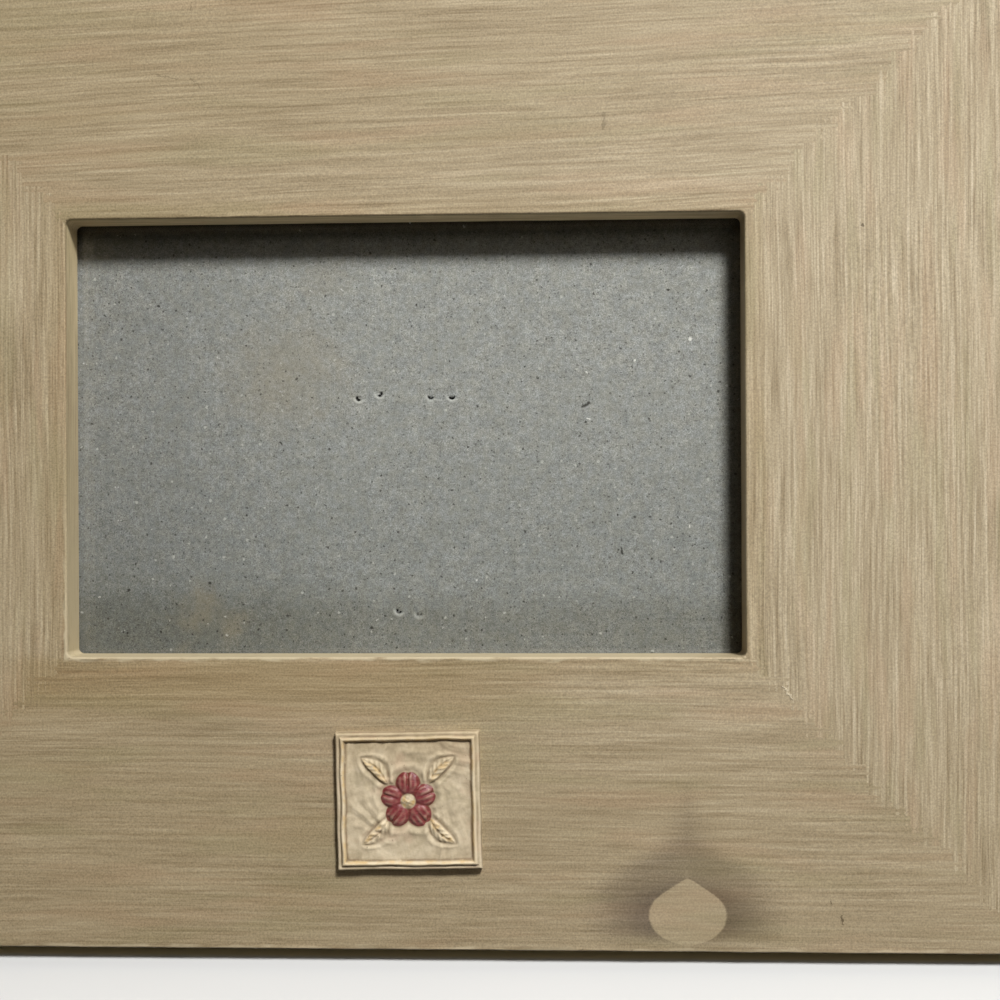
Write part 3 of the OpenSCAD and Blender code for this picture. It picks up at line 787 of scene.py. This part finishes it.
def cast_plaster():
    """Cream plaster with dull and pink clouds: ochre and crimson where the relief's own attributes say, pale
    where high spots are rubbed, a brown wash in hollows, darker towards the top, and a few pinholes."""
    plaster = Finish("cast_plaster")
    place = plaster.upright()
    across, _, up = plaster.split(place)
    flat = plaster.join(across, up)
    crimson = plaster.attribute("crimson")
    cream = [(0.3, tint(173, 157, 130)), (0.5, tint(194, 178, 149)), (0.7, tint(207, 192, 164))]
    plaster.colour = plaster.noise(place, 3.5, 4, 0.65).ramp(*cream)
    dull = plaster.noise(place, (4.5, 4, 3), 3, 0.65, at=(8, 2, 4)).step(0.48, 0.66)
    plaster.coat(tint(160, 146, 116), 0.45 * dull)
    blush = plaster.noise(place, (5, 4, 5), 2, 0.6, at=(2, 9, 7)).step(0.52, 0.7)
    plaster.coat(tint(196, 166, 140), 0.35 * blush)
    brushed_on = plaster.noise(place, 2.2, 3, 0.6, at=(1, 5, 1)).step(0.38, 0.62)
    gilded = plaster.attribute("ochre") * brushed_on
    plaster.coat(tint(203, 165, 96), 0.7 * gilded)
    streaks = plaster.noise(place, (1.4, 1, 0.5), 3, 0.65, at=(3, 1, 2))
    petal = [(0.25, tint(92, 30, 34)), (0.5, tint(121, 47, 50)), (0.75, tint(150, 78, 76))]
    plaster.coat(streaks.ramp(*petal), crimson)
    rubbed = plaster.attribute("proud") * crimson.between(gilded.between(0.5, 0.2), 0.2)
    plaster.coat(tint(234, 217, 183), rubbed)
    wash = plaster.attribute("hollow") * plaster.noise(place, 1.6, 3, 0.6).step(0.15, 0.5)
    plaster.coat(tint(92, 68, 38), 0.66 * wash)
    plaster.shade(tint(226, 219, 207), 0.7 * up.step(TILE_Z + 3, TILE_Z + TILE_H / 2))
    pinholes = plaster.specks(plaster.ruffled(flat, 0.5, 0.2), 2.6, 0.16, 0.22, 5)
    broken = plaster.mark(plaster.ruffled(flat, 0.7, 0.3), *BROKEN_EDGE)
    plaster.coat(tint(48, 34, 18), 0.9 * broken.at_least(0.6 * pinholes))
    pits = plaster.noise(place, 0.3, 3, 0.7)
    return plaster.surface(crimson.between(0.7, 0.4), pits, 0.05, Specular_IOR_Level=0.4)


u, v = np.meshgrid(np.linspace(-TILE_W / 2, TILE_W / 2, round(TILE_W / TILE_GRID) + 1),
                   np.linspace(-TILE_H / 2, TILE_H / 2, round(TILE_H / TILE_GRID) + 1))
height, crimson, ochre = tile_relief(u, v)
proud = height - soften(height, 3)
hollow = np.clip(-proud / 0.16 - 0.3, 0, 1) + np.clip(soften(height, 8) - height, 0, 0.25)
edge = np.maximum(np.abs(u) / TILE_W, np.abs(v) / TILE_H) * 2
u = u + 0.05 * wander(u, v, 12, 31) * rise(edge, 0.8, 1)
v = v + 0.05 * wander(u, v, 12, 32) * rise(edge, 0.8, 1)
x = TILE_X + u * math.cos(TILE_TURN) - v * math.sin(TILE_TURN)
z = TILE_Z + u * math.sin(TILE_TURN) + v * math.cos(TILE_TURN)
# The back reaches just into the paint, so that no light shows under the tile
points, faces = close_behind(np.stack([x, -height, z], -1), 0.08)
tile = make_piece("relief_tile", points, faces, cast_plaster(), sharp=70)
add_shares(tile, crimson=crimson, ochre=ochre, hollow=hollow, proud=proud / 0.12 - 0.1)
fit(tile, "ornament_tile")


# The glass: a 2 mm pane laid in the rabbet behind the lip and held there by the board.
# It is clear, with a little dust and the smears of a cloth.
def clear_pane():
    """Thin glass: what is behind shows through, 4 in 100 of the light is mirrored straight on, and more with
    the fifth power of the slant, and dust is a thin scatter of pale specks and smears."""
    glass = Finish("clear_glass")
    x, _, z = glass.split(glass.upright())
    flat = glass.join(x, z)
    slant = glass.number("LayerWeight", {"Blend": 0.5}, out="Facing")
    gloss = glass.node("BsdfGlossy", {"Color": (1, 1, 1, 1), "Roughness": 0.03})
    clear = glass.node("BsdfTransparent", {"Color": tint(254, 254, 253)})
    pane = glass.node("MixShader", {0: 0.04 + 0.96 * slant ** 5, 1: clear, 2: gloss})
    smear = glass.noise(flat, (34, 12), 3, 0.6).step(0.52, 0.8)
    dust = 0.5 * glass.specks(flat, 7, 0.22, 0.2) + 0.008 * smear
    dusty = glass.node("BsdfDiffuse", {"Color": tint(226, 226, 220)})
    return glass.done(glass.node("MixShader", {0: dust, 1: pane, 2: dusty}))


dress("glazing", clear_pane())


# The backing board: grey chipboard from pulped paper, 3 mm thick, seen through the glass. The points of the
# staples that hold the hinge and the ribbon behind have come through and raised small crescents.
board_low, board_high = upright_box("backing_board")
STAPLE_W = 4.8
WIRE_T = 0.45
PRONG = (STAPLE_W - WIRE_T) / 2
hinge_staple_x = upright_box("hinge_staples")[1][0] - STAPLE_W / 2
hinge_staple_z = np.mean(upright_box("hinge_staples"), 0)[2]
ribbon_staple_z = np.mean(upright_box("board_ribbon_staple"), 0)[2]
# Where each point came through: across, up and depth in millimetres, and the way its slit bows in degrees
POINTS_THROUGH = [
    (-hinge_staple_x - PRONG - 0.6, hinge_staple_z - 0.3, 0.6, 228),
    (-hinge_staple_x + PRONG - 0.5, hinge_staple_z + 0.6, 0.55, 318),
    (hinge_staple_x - PRONG - 0.5, hinge_staple_z - 0.1, 0.38, 255),
    (hinge_staple_x + PRONG - 0.3, hinge_staple_z - 0.1, 0.55, 280),
    (-PRONG + 0.2, ribbon_staple_z + 0.5, 0.5, 240),
    (PRONG + 0.2, ribbon_staple_z - 0.2, 0.25, 270),
]
SLIT_R = 0.42
# Steps of the board's grid, far from the points and near them, and how far near is
BOARD_GRID = 2.4
SLIT_GRID = 0.15
SLIT_ROOM = 3.0


def spaced(low, high, zones):
    """Places from low to high, wide apart, and close together in zones, each of a middle and a reach."""
    runs = [np.arange(low, high, BOARD_GRID), [high]]
    runs += [np.arange(middle - reach, middle + reach, SLIT_GRID) for middle, reach in zones]
    places = np.unique(np.round(np.concatenate(runs), 3))
    return places[np.concatenate([[True], np.diff(places) > 0.04])]


def board_face(x, z):
    """How far the board's face is sunk, with the shares that are torn open and lifted: a slow wave, and at
    each staple point a hooked slit round a pit, a raised crescent under it and a wide bruise. A weal joins
    the right pair."""
    sunk = 0.03 * wander(x, z, 45, 41)
    torn = np.zeros_like(x)
    lifted = np.zeros_like(x)
    for across, up, depth, heading in POINTS_THROUGH:
        right, above = x - across, z - up
        apart = np.hypot(right, above)
        bowed = right * math.cos(math.radians(heading)) + above * math.sin(math.radians(heading))
        slit = hump(apart - SLIT_R, 0.24) * rise(bowed / np.maximum(apart, 0.05), -0.35, 0.35)
        pit = np.maximum(slit, 0.3 * hump(apart, 0.4)) * (1 + 0.3 * wander(x, z, 1.1, 42))
        under = rise((-above - 0.4 * right) / np.maximum(apart, 0.05), -0.25, 0.8)
        crescent = hump(apart - 1.05, 0.34) * under * (0.3 + depth)
        sunk = sunk + depth * pit - 0.15 * crescent + 0.1 * depth * hump(apart, 2.2)
        torn = np.maximum(torn, rise(depth * pit, 0.14, 0.34))
        lifted = np.maximum(lifted, crescent)
    (left, level, *_), (right, *_) = POINTS_THROUGH[2:4]
    bow = level - 0.5 - 0.35 * np.sin(math.pi * np.clip((x - left) / (right - left), 0, 1))
    weal = hump(z - bow, 0.17) * rise(x, left, left + 0.9) * rise(-x, -right, 0.9 - right)
    return sunk - 0.08 * weal, torn, np.maximum(lifted, 0.6 * weal)


# The board's pulp from dark to pale, the clots in it, and its warm and cool tones
PULP = [(0.3, tint(112, 113, 109)), (0.5, tint(152, 153, 150)), (0.7, tint(192, 193, 191))]
CLOTS = [(0.3, tint(172, 172, 172)), (0.7, tint(202, 202, 202))]
TONES = [(0.35, (1.0, 0.985, 0.92, 1.0)), (0.65, (0.93, 0.965, 1.0, 1.0))]
# Tea-coloured spots: across, up, width and strength. Dark specks: spacing, radius, share, place and strength
TEA_SPOTS = [(-26, 121, 17, 0.3), (-44, 69, 9, 0.35), (-18, 142, 9, 0.15)]
DARK_SPECKS = [(1.2, 0.2, 0.5, 0, 0.5), (3.0, 0.25, 0.42, 4, 0.75), (9.0, 0.34, 0.3, 9, 0.85)]
# Flecks in the board that can be told apart: two ends and a width in millimetres
DARK_FLECKS = [((37.7, 113.5), (38.9, 114.3), 0.5), ((45.8, 83.1), (46.0, 82.0), 0.36),
               ((-27.6, 106.3), (-27.2, 105.7), 0.25)]
PALE_FLECKS = [((60.5, 127.7), (60.7, 127.9), 0.5), ((48.8, 123.2), (48.8, 123.3), 0.3),
               ((60.4, 87.9), (60.4, 87.8), 0.3), ((38.6, 111.1), (39.1, 110.8), 0.25),
               ((38.4, 120.9), (38.5, 120.8), 0.25)]


def speckled_chipboard():
    """Pulped grey board: fibre in warm and cool tones, dark and pale flecks of several sizes, tea-coloured
    spots, painted grey shade to the left and below and along the window's top and right, and torn and
    lifted paper where the staple points are, with painted shade in the slits."""
    board = Finish("speckled_chipboard")
    x, _, z = board.split(board.upright())
    flat = board.join(x, z)
    fine = board.noise(flat, (0.33, 0.33), 2, 0.9, at=(3, 3, 0))
    fibre = 0.32 * board.noise(flat, (1.1, 0.95), 2, 0.7) + 0.68 * fine
    felt = board.noise(flat, (9, 12), 3, 0.6, at=(2, 7, 0))
    board.colour = fibre.ramp(*PULP)
    board.coat(board.noise(flat, (4.0, 3.2), 2, 0.6, at=(6, 1, 0)).ramp(*CLOTS), 0.5, "OVERLAY")
    board.coat(tint(144, 146, 141), 0.3 * felt.step(0.3, 0.75))
    board.shade(board.noise(flat, (2.2, 2.6), 2, 0.6, at=(1, 9, 0)).ramp(*TONES), 0.5)

    # Painted shade: darker to the left and below, then deep along the window's top and right
    ragged_height = z + 5 * felt
    window_top = FRAME_H - RAIL_W
    board.shade((0.84, 0.85, 0.85, 1.0), z.step(125, 70))
    board.shade((0.79, 0.78, 0.75, 1.0), ragged_height.step(78.5, 70.5))
    board.shade((0.76, 0.76, 0.76, 1.0), x.step(-5, -75))
    board.shade((0.88, 0.88, 0.86, 1.0), ragged_height.step(84, 74) * x.step(0, -30))
    # Painted shade under the top lip and beside the right lip
    board.shade((0.12, 0.09, 0.05, 1.0), z.step(window_top - 4.5, window_top + 1))
    board.shade((0.5, 0.46, 0.38, 1.0), x.step(WINDOW_W / 2 - 6, WINDOW_W / 2 + 1))

    # Spots, flecks, torn paper, and painted shade black in the torn slits
    for across, up, wide, strength in TEA_SPOTS:
        ragged = board.measure("DISTANCE", flat, (across, up, 0)) - 10 + 20 * felt
        board.coat(tint(150, 138, 112), strength * ragged.step(wide, wide * 0.1))
    torn_pulp = board.ruffled(flat, 0.7, 0.3)
    for *specks, strength in DARK_SPECKS:
        board.coat(tint(50, 48, 43), strength * board.specks(torn_pulp, *specks))
    board.coat(tint(205, 205, 198), 0.5 * board.specks(torn_pulp, 4.0, 0.3, 0.3, 13))
    board.marks(torn_pulp, DARK_FLECKS, tint(46, 43, 38), 0.85)
    board.marks(torn_pulp, PALE_FLECKS, tint(240, 240, 234), 0.75)
    board.coat(tint(206, 207, 201), 0.6 * board.attribute("lifted"))
    # Painted shade: the torn slits round the staple points are black
    board.coat(tint(14, 13, 12), board.attribute("torn"))
    return board.surface(0.9, fibre, 0.01, Specular_IOR_Level=0.1)


near_rows = [(hinge_staple_z, SLIT_ROOM), (ribbon_staple_z, SLIT_ROOM)]
x, z = np.meshgrid(spaced(board_low[0], board_high[0], [(0, hinge_staple_x + PRONG + SLIT_ROOM)]),
                   spaced(board_low[2], board_high[2], near_rows))
sunk, torn, lifted = board_face(x, z)
points, faces = close_behind(np.stack([x, board_low[1] + sunk, z], -1), board_high[1])
board = make_piece("chipboard", points, faces, speckled_chipboard())
add_shares(board, torn=torn, lifted=lifted)
fit(board, "backing_board")


# The paper on the back of the board: black, embossed like leather, and pasted down over the whole board.
# The paste has left a few low cockles in it.
def embossed_black(name, place_of, core=None):
    """Black paper with a pebbled emboss, scuffed grey on its high spots, and painted shade in the grooves
    between pebbles. A core says where a cut edge shows the board inside."""
    paper = Finish(name)
    place = place_of(paper)
    cells = {"Vector": place, "Scale": 1.1, "Smoothness": 0.6}
    pebble = paper.number("TexVoronoi", cells, feature="SMOOTH_F1")
    cloud = paper.noise(place, 14, 4, 0.6)
    paper.colour = cloud.ramp((0.3, tint(29, 28, 27)), (0.7, tint(45, 44, 42)))
    paper.coat(tint(92, 90, 86), 0.35 * paper.noise(place, 3, 5, 0.75).step(0.56, 0.75))
    # Painted shade in the grooves between the pebbles
    paper.coat(tint(22, 21, 20), pebble.step(0.2, 0.6))
    roughness = cloud.between(0.45, 0.62)
    if core is not None:
        depth, low, high = core(paper, place)
        cut = depth.step(low, low + 0.12) * depth.step(high, high - 0.12)
        fibre = paper.noise(place, (0.6, 0.25, 0.6), 3, 0.7)
        paper.coat(fibre.ramp((0.3, tint(84, 80, 72)), (0.7, tint(132, 127, 116))), cut)
        roughness = cut.between(roughness, 0.85)
    return paper.surface(roughness, -1 * pebble, 0.12, Specular_IOR_Level=0.45)


paper_low, paper_high = upright_box("backing_paper")
x, z = np.meshgrid(np.linspace(paper_low[0], paper_high[0], 96), np.linspace(paper_low[2], paper_high[2], 66))
margin = np.min([x - paper_low[0], paper_high[0] - x, z - paper_low[2], paper_high[2] - z], 0)
cockle = 0.05 * (1 + wander(x, z, 26, 51)) * rise(margin, 0, 12) + 0.08 * hump(margin, 0.6)
points, faces = close_behind(np.stack([x, paper_high[1] - cockle, z], -1), paper_low[1])
paper = make_piece("back_paper", points, faces, embossed_black("black_paper", Finish.upright))
fit(paper, "backing_paper")


# The four turn buttons: stamped steel strip with round ends, plated with zinc. Each pivots on a pan-head
# brass screw with a cross recess, driven into the moulding.
joints = {joint["name"]: joint for joint in frame["joints"]}
CORNERS = ("top_left", "top_right", "bottom_left", "bottom_right")
button_finish = plain_metal("button_steel", (148, 148, 146), (196, 196, 192), (120, 112, 100), 0.3)
for corner in CORNERS:
    dress(corner + "_turn_button", button_finish, 0.25, 3)

SCREW_HEAD_R = 2.7
SCREW_HEAD_T = 1.6
SCREW_R = 1.3
SCREW_SHANK = 9.0
SCREW_POINT = 2.0
SCREW_TOP = upright_box("button_screws")[1][1]
UNDER_HEAD = SCREW_TOP - SCREW_HEAD_T
HEAD_GRID = 61


def turned(profile, across, up, sides=40):
    """A profile of radius and depth turned about a line along y."""
    radius, depth = np.array(profile).T
    angle = np.linspace(0, math.tau, sides, endpoint=False)
    x = across + np.outer(radius, np.cos(angle))
    z = up + np.outer(radius, np.sin(angle))
    return np.stack([x, np.repeat(depth[:, None], sides, 1), z], -1)


def screw_head(across, up, turn):
    """A pan head on a square grid drawn out to a disc: a flat dome with a rounded shoulder, and a cross
    recess that narrows downwards."""
    p, q = np.meshgrid(np.linspace(-1, 1, HEAD_GRID), np.linspace(-1, 1, HEAD_GRID))
    u, w = p * np.sqrt(1 - q * q / 2), q * np.sqrt(1 - p * p / 2)
    radius = np.hypot(u, w)
    arms = [rise(-np.abs(a), -0.17, -0.08) * rise(-np.abs(b), -0.58, -0.46) for a, b in ((u, w), (w, u))]
    top = 1 - 0.1 * radius ** 2 - 0.5 * np.clip((radius - 0.7) / 0.3, 0, 1) ** 2
    top = top - 0.62 * np.maximum(*arms)
    x = across + SCREW_HEAD_R * (u * math.cos(turn) - w * math.sin(turn))
    z = up + SCREW_HEAD_R * (u * math.sin(turn) + w * math.cos(turn))
    return np.stack([x, SCREW_TOP - SCREW_HEAD_T * (1 - top), z], -1)


def join_parts(parts):
    """Several closed shapes as one list of points and faces."""
    points, faces, count = [], [], 0
    for part_points, part_faces in parts:
        points.append(part_points)
        faces += [group + count for group in part_faces]
        count += len(part_points)
    return np.concatenate(points), faces


tip = RAIL_T - SCREW_SHANK
shank = [(0.1, tip), (SCREW_R, tip + SCREW_POINT), (SCREW_R, UNDER_HEAD + 0.1), (0.1, UNDER_HEAD + 0.1)]
screw_parts = []
for i, corner in enumerate(CORNERS):
    across, _, up = upright(joints[corner + "_button_turn"]["pos_m"])
    screw_parts.append(close_behind(screw_head(across, up, 0.5 + 1.1 * i), UNDER_HEAD))
    screw_parts.append(close_ends(turned(shank, across, up)))
brass_finish = plain_metal("screw_brass", (150, 116, 58), (200, 164, 92), (96, 70, 40), 0.28, 1.2)
screws = make_piece("pan_head_screws", *join_parts(screw_parts), brass_finish, sharp=35)
fit(screws, "button_screws")


# The easel hinge: two leaves of pressed steel curled round a wire pin. The upper leaf is stapled through the
# back and the board, and the lower leaf is riveted to the leg.
hinge_finish = plain_metal("hinge_steel", (132, 130, 126), (188, 186, 180), (104, 84, 62), 0.32)
staple_finish = plain_metal("staple_wire", (150, 150, 150), (204, 204, 202), (120, 110, 100), 0.26, 1.0)
for leaf in ("hinge_upper_leaf", "hinge_lower_leaf"):
    dress(leaf, hinge_finish, 0.12, 2)
dress("hinge_pin", hinge_finish, 0.2, 3)
for staple in ("hinge_staples", "board_ribbon_staple", "leg_ribbon_staple"):
    dress(staple, staple_finish, 0.12, 3)


# The leg: a tapered strip of grey board covered in black embossed paper, with cut edges, and two brass
# rivets with domed heads that hold it to the lower leaf.
HINGE = upright(joints["leg_hinge"]["pos_m"])
LEG_OPEN = math.radians(-joints["leg_hinge"]["range_deg"][0])
COVER_T = 0.25


def swing(points, angle):
    """Upright points turned about the hinge pin by an angle, which opens the leg."""
    return (np.asarray(points) - HINGE) @ np.array(Matrix.Rotation(angle, 3, "X")).T + HINGE


def folded_box(name):
    """The lowest and highest upright corners of a CAD node on the leg, with the leg folded."""
    points = swing(upright(node_points(name)), -LEG_OPEN)
    return points.min(0), points.max(0)


LEG_IN, LEG_OUT = (corner[1] for corner in folded_box("easel_leg"))


def on_leg(finish):
    """The surface point in upright millimetres of the folded leg."""
    shift = HINGE - np.array(Matrix.Rotation(-LEG_OPEN, 3, "X")) @ HINGE
    return finish.node("Mapping", {"Vector": finish.upright(), "Location": tuple(shift),
                                   "Rotation": (-LEG_OPEN, 0, 0)})


def leg_core(finish, place):
    """The leg's depth, and the depths between which its cut edge shows board."""
    return finish.split(place)[1], LEG_IN + COVER_T, LEG_OUT - COVER_T


dress("easel_leg", embossed_black("covered_board", on_leg, leg_core), 0.2, 2)

RIVET_HEAD_R = 1.9
RIVET_R = RIVET_HEAD_R / 2
rivets_low, rivets_high = folded_box("leg_rivets")
rivet_x = rivets_high[0] - RIVET_HEAD_R
rivet_z = (rivets_low[2] + rivets_high[2]) / 2
rivet_rise = LEG_IN - rivets_low[1]
head_y = rivets_high[1] - rivet_rise
dome = np.linspace(0, math.pi / 2, 8)
head = [(max(0.08, RIVET_HEAD_R * math.sin(a)), head_y + rivet_rise * math.cos(a)) for a in dome]
foot = [(radius, LEG_IN + head_y - depth) for radius, depth in head[::-1]]
rivet_profile = head + [(RIVET_R, head_y), (RIVET_R, LEG_IN)] + foot
rivet_shapes = [turned(rivet_profile, across, rivet_z) for across in (-rivet_x, rivet_x)]
rivet_parts = [close_ends(swing(shape, LEG_OPEN)) for shape in rivet_shapes]
rivets = make_piece("domed_rivets", *join_parts(rivet_parts), brass_finish, sharp=35)
fit(rivets, "leg_rivets", "leg")


# The stay ribbon: black ribbed ribbon, 10 mm wide, stapled to the back and to the inside of the leg, so that
# the leg can't open further. It folds flat when the leg closes.
RIBBON_W = 10.0
RIBBON_T = 0.3
RIBBON_TAB = 5.0
RIBBON_DROP = 6.0
RIB_PITCH = 0.55
ribbon_near = HINGE[2] - ribbon_staple_z + RIBBON_TAB
half_open = LEG_OPEN / 2


def ribbon_line(share):
    """The ribbon's middle line in y and z, by the share of its drop from the back to the leg: it turns about
    the hinge as the share does, on a slope that runs level with the mean of the two."""
    turn = LEG_OPEN * rise(share, 0, 1)
    reach = (ribbon_near + share * RIBBON_DROP) * math.cos(half_open) / np.cos(turn - half_open)
    off_back, off_leg = RAIL_T + RIBBON_T / 2 - HINGE[1], LEG_IN - RIBBON_T / 2 - HINGE[1]
    out = off_back + rise(share, 0, 1) * (off_leg - off_back)
    y = HINGE[1] + reach * np.sin(turn) + out * np.cos(turn)
    z = HINGE[2] - reach * np.cos(turn) + out * np.sin(turn)
    return y, z


def ribbed_ribbon():
    """Black grosgrain: ribs across the ribbon from its own map, with painted light on their crests and painted
    shade between them, and a slight sheen.
    """
    ribbon = Finish("ribbed_ribbon")
    cloth = ribbon.node("UVMap", {}, uv_map="cloth")
    _, along, _ = ribbon.split(cloth)
    ribs = ribbon.number("Math", {0: along * (math.tau / RIB_PITCH)}, operation="SINE")
    # Painted light on the ribs' crests and painted shade between them
    ribbon.colour = ribs.ramp((0.0, tint(18, 18, 19)), (0.8, tint(46, 46, 48)))
    ribbon.coat(tint(82, 82, 84), 0.3 * ribbon.noise(cloth, (0.3, 2), 3, 0.7).step(0.5, 0.8))
    return ribbon.surface(0.6, ribs, 0.06, Sheen_Weight=0.3, Sheen_Roughness=0.4)


tabs = 2 * RIBBON_TAB / RIBBON_DROP
on_back, on_drop = np.linspace(-tabs, 0, 14)[:-1], np.linspace(0, 1, 80)
shares = np.concatenate([on_back, on_drop, np.linspace(1, 1 + tabs, 14)[1:]])
line_y, line_z = ribbon_line(shares)
run = np.concatenate([[0], np.cumsum(np.hypot(np.diff(line_y), np.diff(line_z)))])
normal = np.stack([np.gradient(line_z), -np.gradient(line_y)])
normal_y, normal_z = normal / np.hypot(*normal)
# The section, in halves of the width and thickness: a flat side with worn corners, and the same turned round
side = [(-1, -0.6), (-0.97, -1), *[(w, -1) for w in np.linspace(-0.8, 0.8, 9)], (0.97, -1), (1, -0.6)]
section = np.array(side + [(-w, -t) for w, t in side])
wide, thick = (section * (RIBBON_W / 2, RIBBON_T / 2)).T
x = np.repeat(wide[None, :], len(shares), 0)
y = line_y[:, None] + np.outer(normal_y, thick)
z = line_z[:, None] + np.outer(normal_z, thick)
ribbon = make_piece("grosgrain_ribbon", *close_ends(np.stack([x, y, z], -1)), ribbed_ribbon(), sharp=50)
uv = ribbon.data.uv_layers.new(name="cloth")
loops = np.empty(len(ribbon.data.loops), np.int32)
ribbon.data.loops.foreach_get("vertex_index", loops)
cloth = np.stack([x, np.repeat(run[:, None], x.shape[1], 1)], -1).reshape(-1, 2)
cloth = np.concatenate([cloth, [(0, 0), (0, run[-1])]])
uv.data.foreach_set("uv", cloth[loops].astype(np.float32).ravel())
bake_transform(ribbon)
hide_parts("stay_ribbon")


# The table and the light: a pale table top with painted warm bounce light in the gap under the frame,
# a lamp high on the right in front, two lamps behind, and the room's glow, soft from above the front and
# weak elsewhere.
TABLE_W = 4.0
ROOM_WHITE = tint(226, 226, 224)
# In metres: where the painted bounce light starts behind the face, how soft it is, and where the room takes over
BOUNCE_FROM = 0.0021
BOUNCE_SOFT = 0.002
ROOM_FROM = 0.25
ROOM_FULL = 0.8


def pale_table():
    """White laminate that gives back little scattered light, with painted warm bounce light from the frame's
    underside in the gap under the frame. Far away the camera sees it fade to the room's white."""
    table = Finish("pale_table")
    place = table.node("TexCoord", {}, out="Object")
    across, along, _ = table.split(place)
    table.colour = table.noise(place, 0.4).ramp((0.3, tint(210, 210, 208)), (0.7, tint(214, 214, 213)))
    face = cad_box[0][1]
    back = face + RAIL_T * MM
    # Painted warm bounce light from the frame's painted underside, in the gap under it
    gap = along.step(face + BOUNCE_FROM, face + BOUNCE_FROM + BOUNCE_SOFT) * along.step(back + BOUNCE_SOFT, back)
    table.coat((0.85, 0.72, 0.42, 1.0), gap * (abs(across) < cad_box[1][0]))
    table.coat(tint(60, 56, 50), table.ray("Is Diffuse Ray"))
    near = table.node("BsdfDiffuse", {"Color": table.colour})
    far = table.node("Emission", {"Color": ROOM_WHITE})
    away = table.measure("LENGTH", place).step(ROOM_FROM, ROOM_FULL) * table.ray("Is Camera Ray")
    return table.done(table.node("MixShader", {0: away, 1: near, 2: far}))


table_mesh = bpy.data.meshes.new("table_top")
table_corners = np.array([(-1, -1, 0), (1, -1, 0), (1, 1, 0), (-1, 1, 0)]) * TABLE_W / 2
table_mesh.from_pydata(table_corners.tolist(), [], [(0, 1, 2, 3)])
table_mesh.materials.append(pale_table())
table_top = bpy.data.objects.new("table_top", table_mesh)
bpy.context.scene.collection.objects.link(table_top)


def lamp(name, place, width, power):
    """A round lamp at an upright place in millimetres, that faces the middle of the window. Its width is in
    metres and its power in watts."""
    light = bpy.data.lights.new(name, "AREA")
    light.shape = "DISK"
    light.size = width
    light.energy = power
    at = Vector(stand(place))
    made = bpy.data.objects.new(name, light)
    made.location = at
    made.rotation_mode = "QUATERNION"
    made.rotation_quaternion = (at - Vector(stand([0, 0, FRAME_H / 2]))).to_track_quat("Z", "Y")
    bpy.context.scene.collection.objects.link(made)


lamp("key_lamp", (322, -750, 768), 0.21, 14.95)
lamp("left_back_lamp", (-700, 800, 700), 0.6, 9.0)
lamp("right_back_lamp", (600, 900, 350), 0.5, 3.0)


def room_glow():
    """The room's light by direction: dim, brighter behind, and for scattered light soft from above the front,
    more so from the right. The camera sees plain white."""
    room = Finish("room", "worlds")
    way = room.node("TexCoord", {}, out="Generated")
    behind = room.measure("DOT_PRODUCT", way, (0, 1, 0.25))
    over = room.measure("DOT_PRODUCT", way, tuple(STRAIGHTEN[2]))
    from_right = room.split(way)[0].step(-0.6, 0.6)
    ahead = over.step(0, 0.2) * behind.step(0.1, -0.2) * from_right.between(0.15, 1.0)
    room.colour = (0.006, 0.005, 0.004, 1.0)
    room.coat(tint(170, 172, 175), behind.step(0, 0.7))
    room.coat((0.68, 0.645, 0.6, 1.0), ahead * room.ray("Is Diffuse Ray"))
    room.coat(ROOM_WHITE, room.ray("Is Camera Ray"))
    return room.done(room.node("Background", {"Color": room.colour}), "OutputWorld")


bpy.context.scene.world = room_glow()
bpy.context.scene.view_settings.view_transform = "Standard"


# The camera: close to the face, a little below its middle and right of its centre line. Its place is in
# upright millimetres, and its pitch, yaw and roll are in degrees.
CAMERA_AT = (33.7, -311.1, 93.8)
CAMERA_TURN = (0.03, 2.47, -0.27)
LENS = 54.0
SENSOR = 36.0
NEAREST = 0.01
pitch, yaw, roll = (math.radians(angle) for angle in CAMERA_TURN)
aim = Matrix.Rotation(roll, 3, "Z") @ Matrix.Rotation(yaw, 3, "Y") @ Matrix.Rotation(pitch, 3, "X")
axes = np.array([[1, 0, 0], [0, 0, -1], [0, 1, 0]])
right, downward, forward = np.array(aim) @ axes @ STRAIGHTEN
camera = bpy.data.objects.new("camera", bpy.data.cameras.new("camera"))
camera.data.lens = LENS
camera.data.sensor_width = SENSOR
camera.data.clip_start = NEAREST
facing = Matrix(np.stack([right, -downward, -forward], 1).tolist()).to_4x4()
camera.matrix_world = Matrix.Translation(Vector(stand(CAMERA_AT))) @ facing
bpy.context.scene.collection.objects.link(camera)
bpy.context.scene.camera = camera
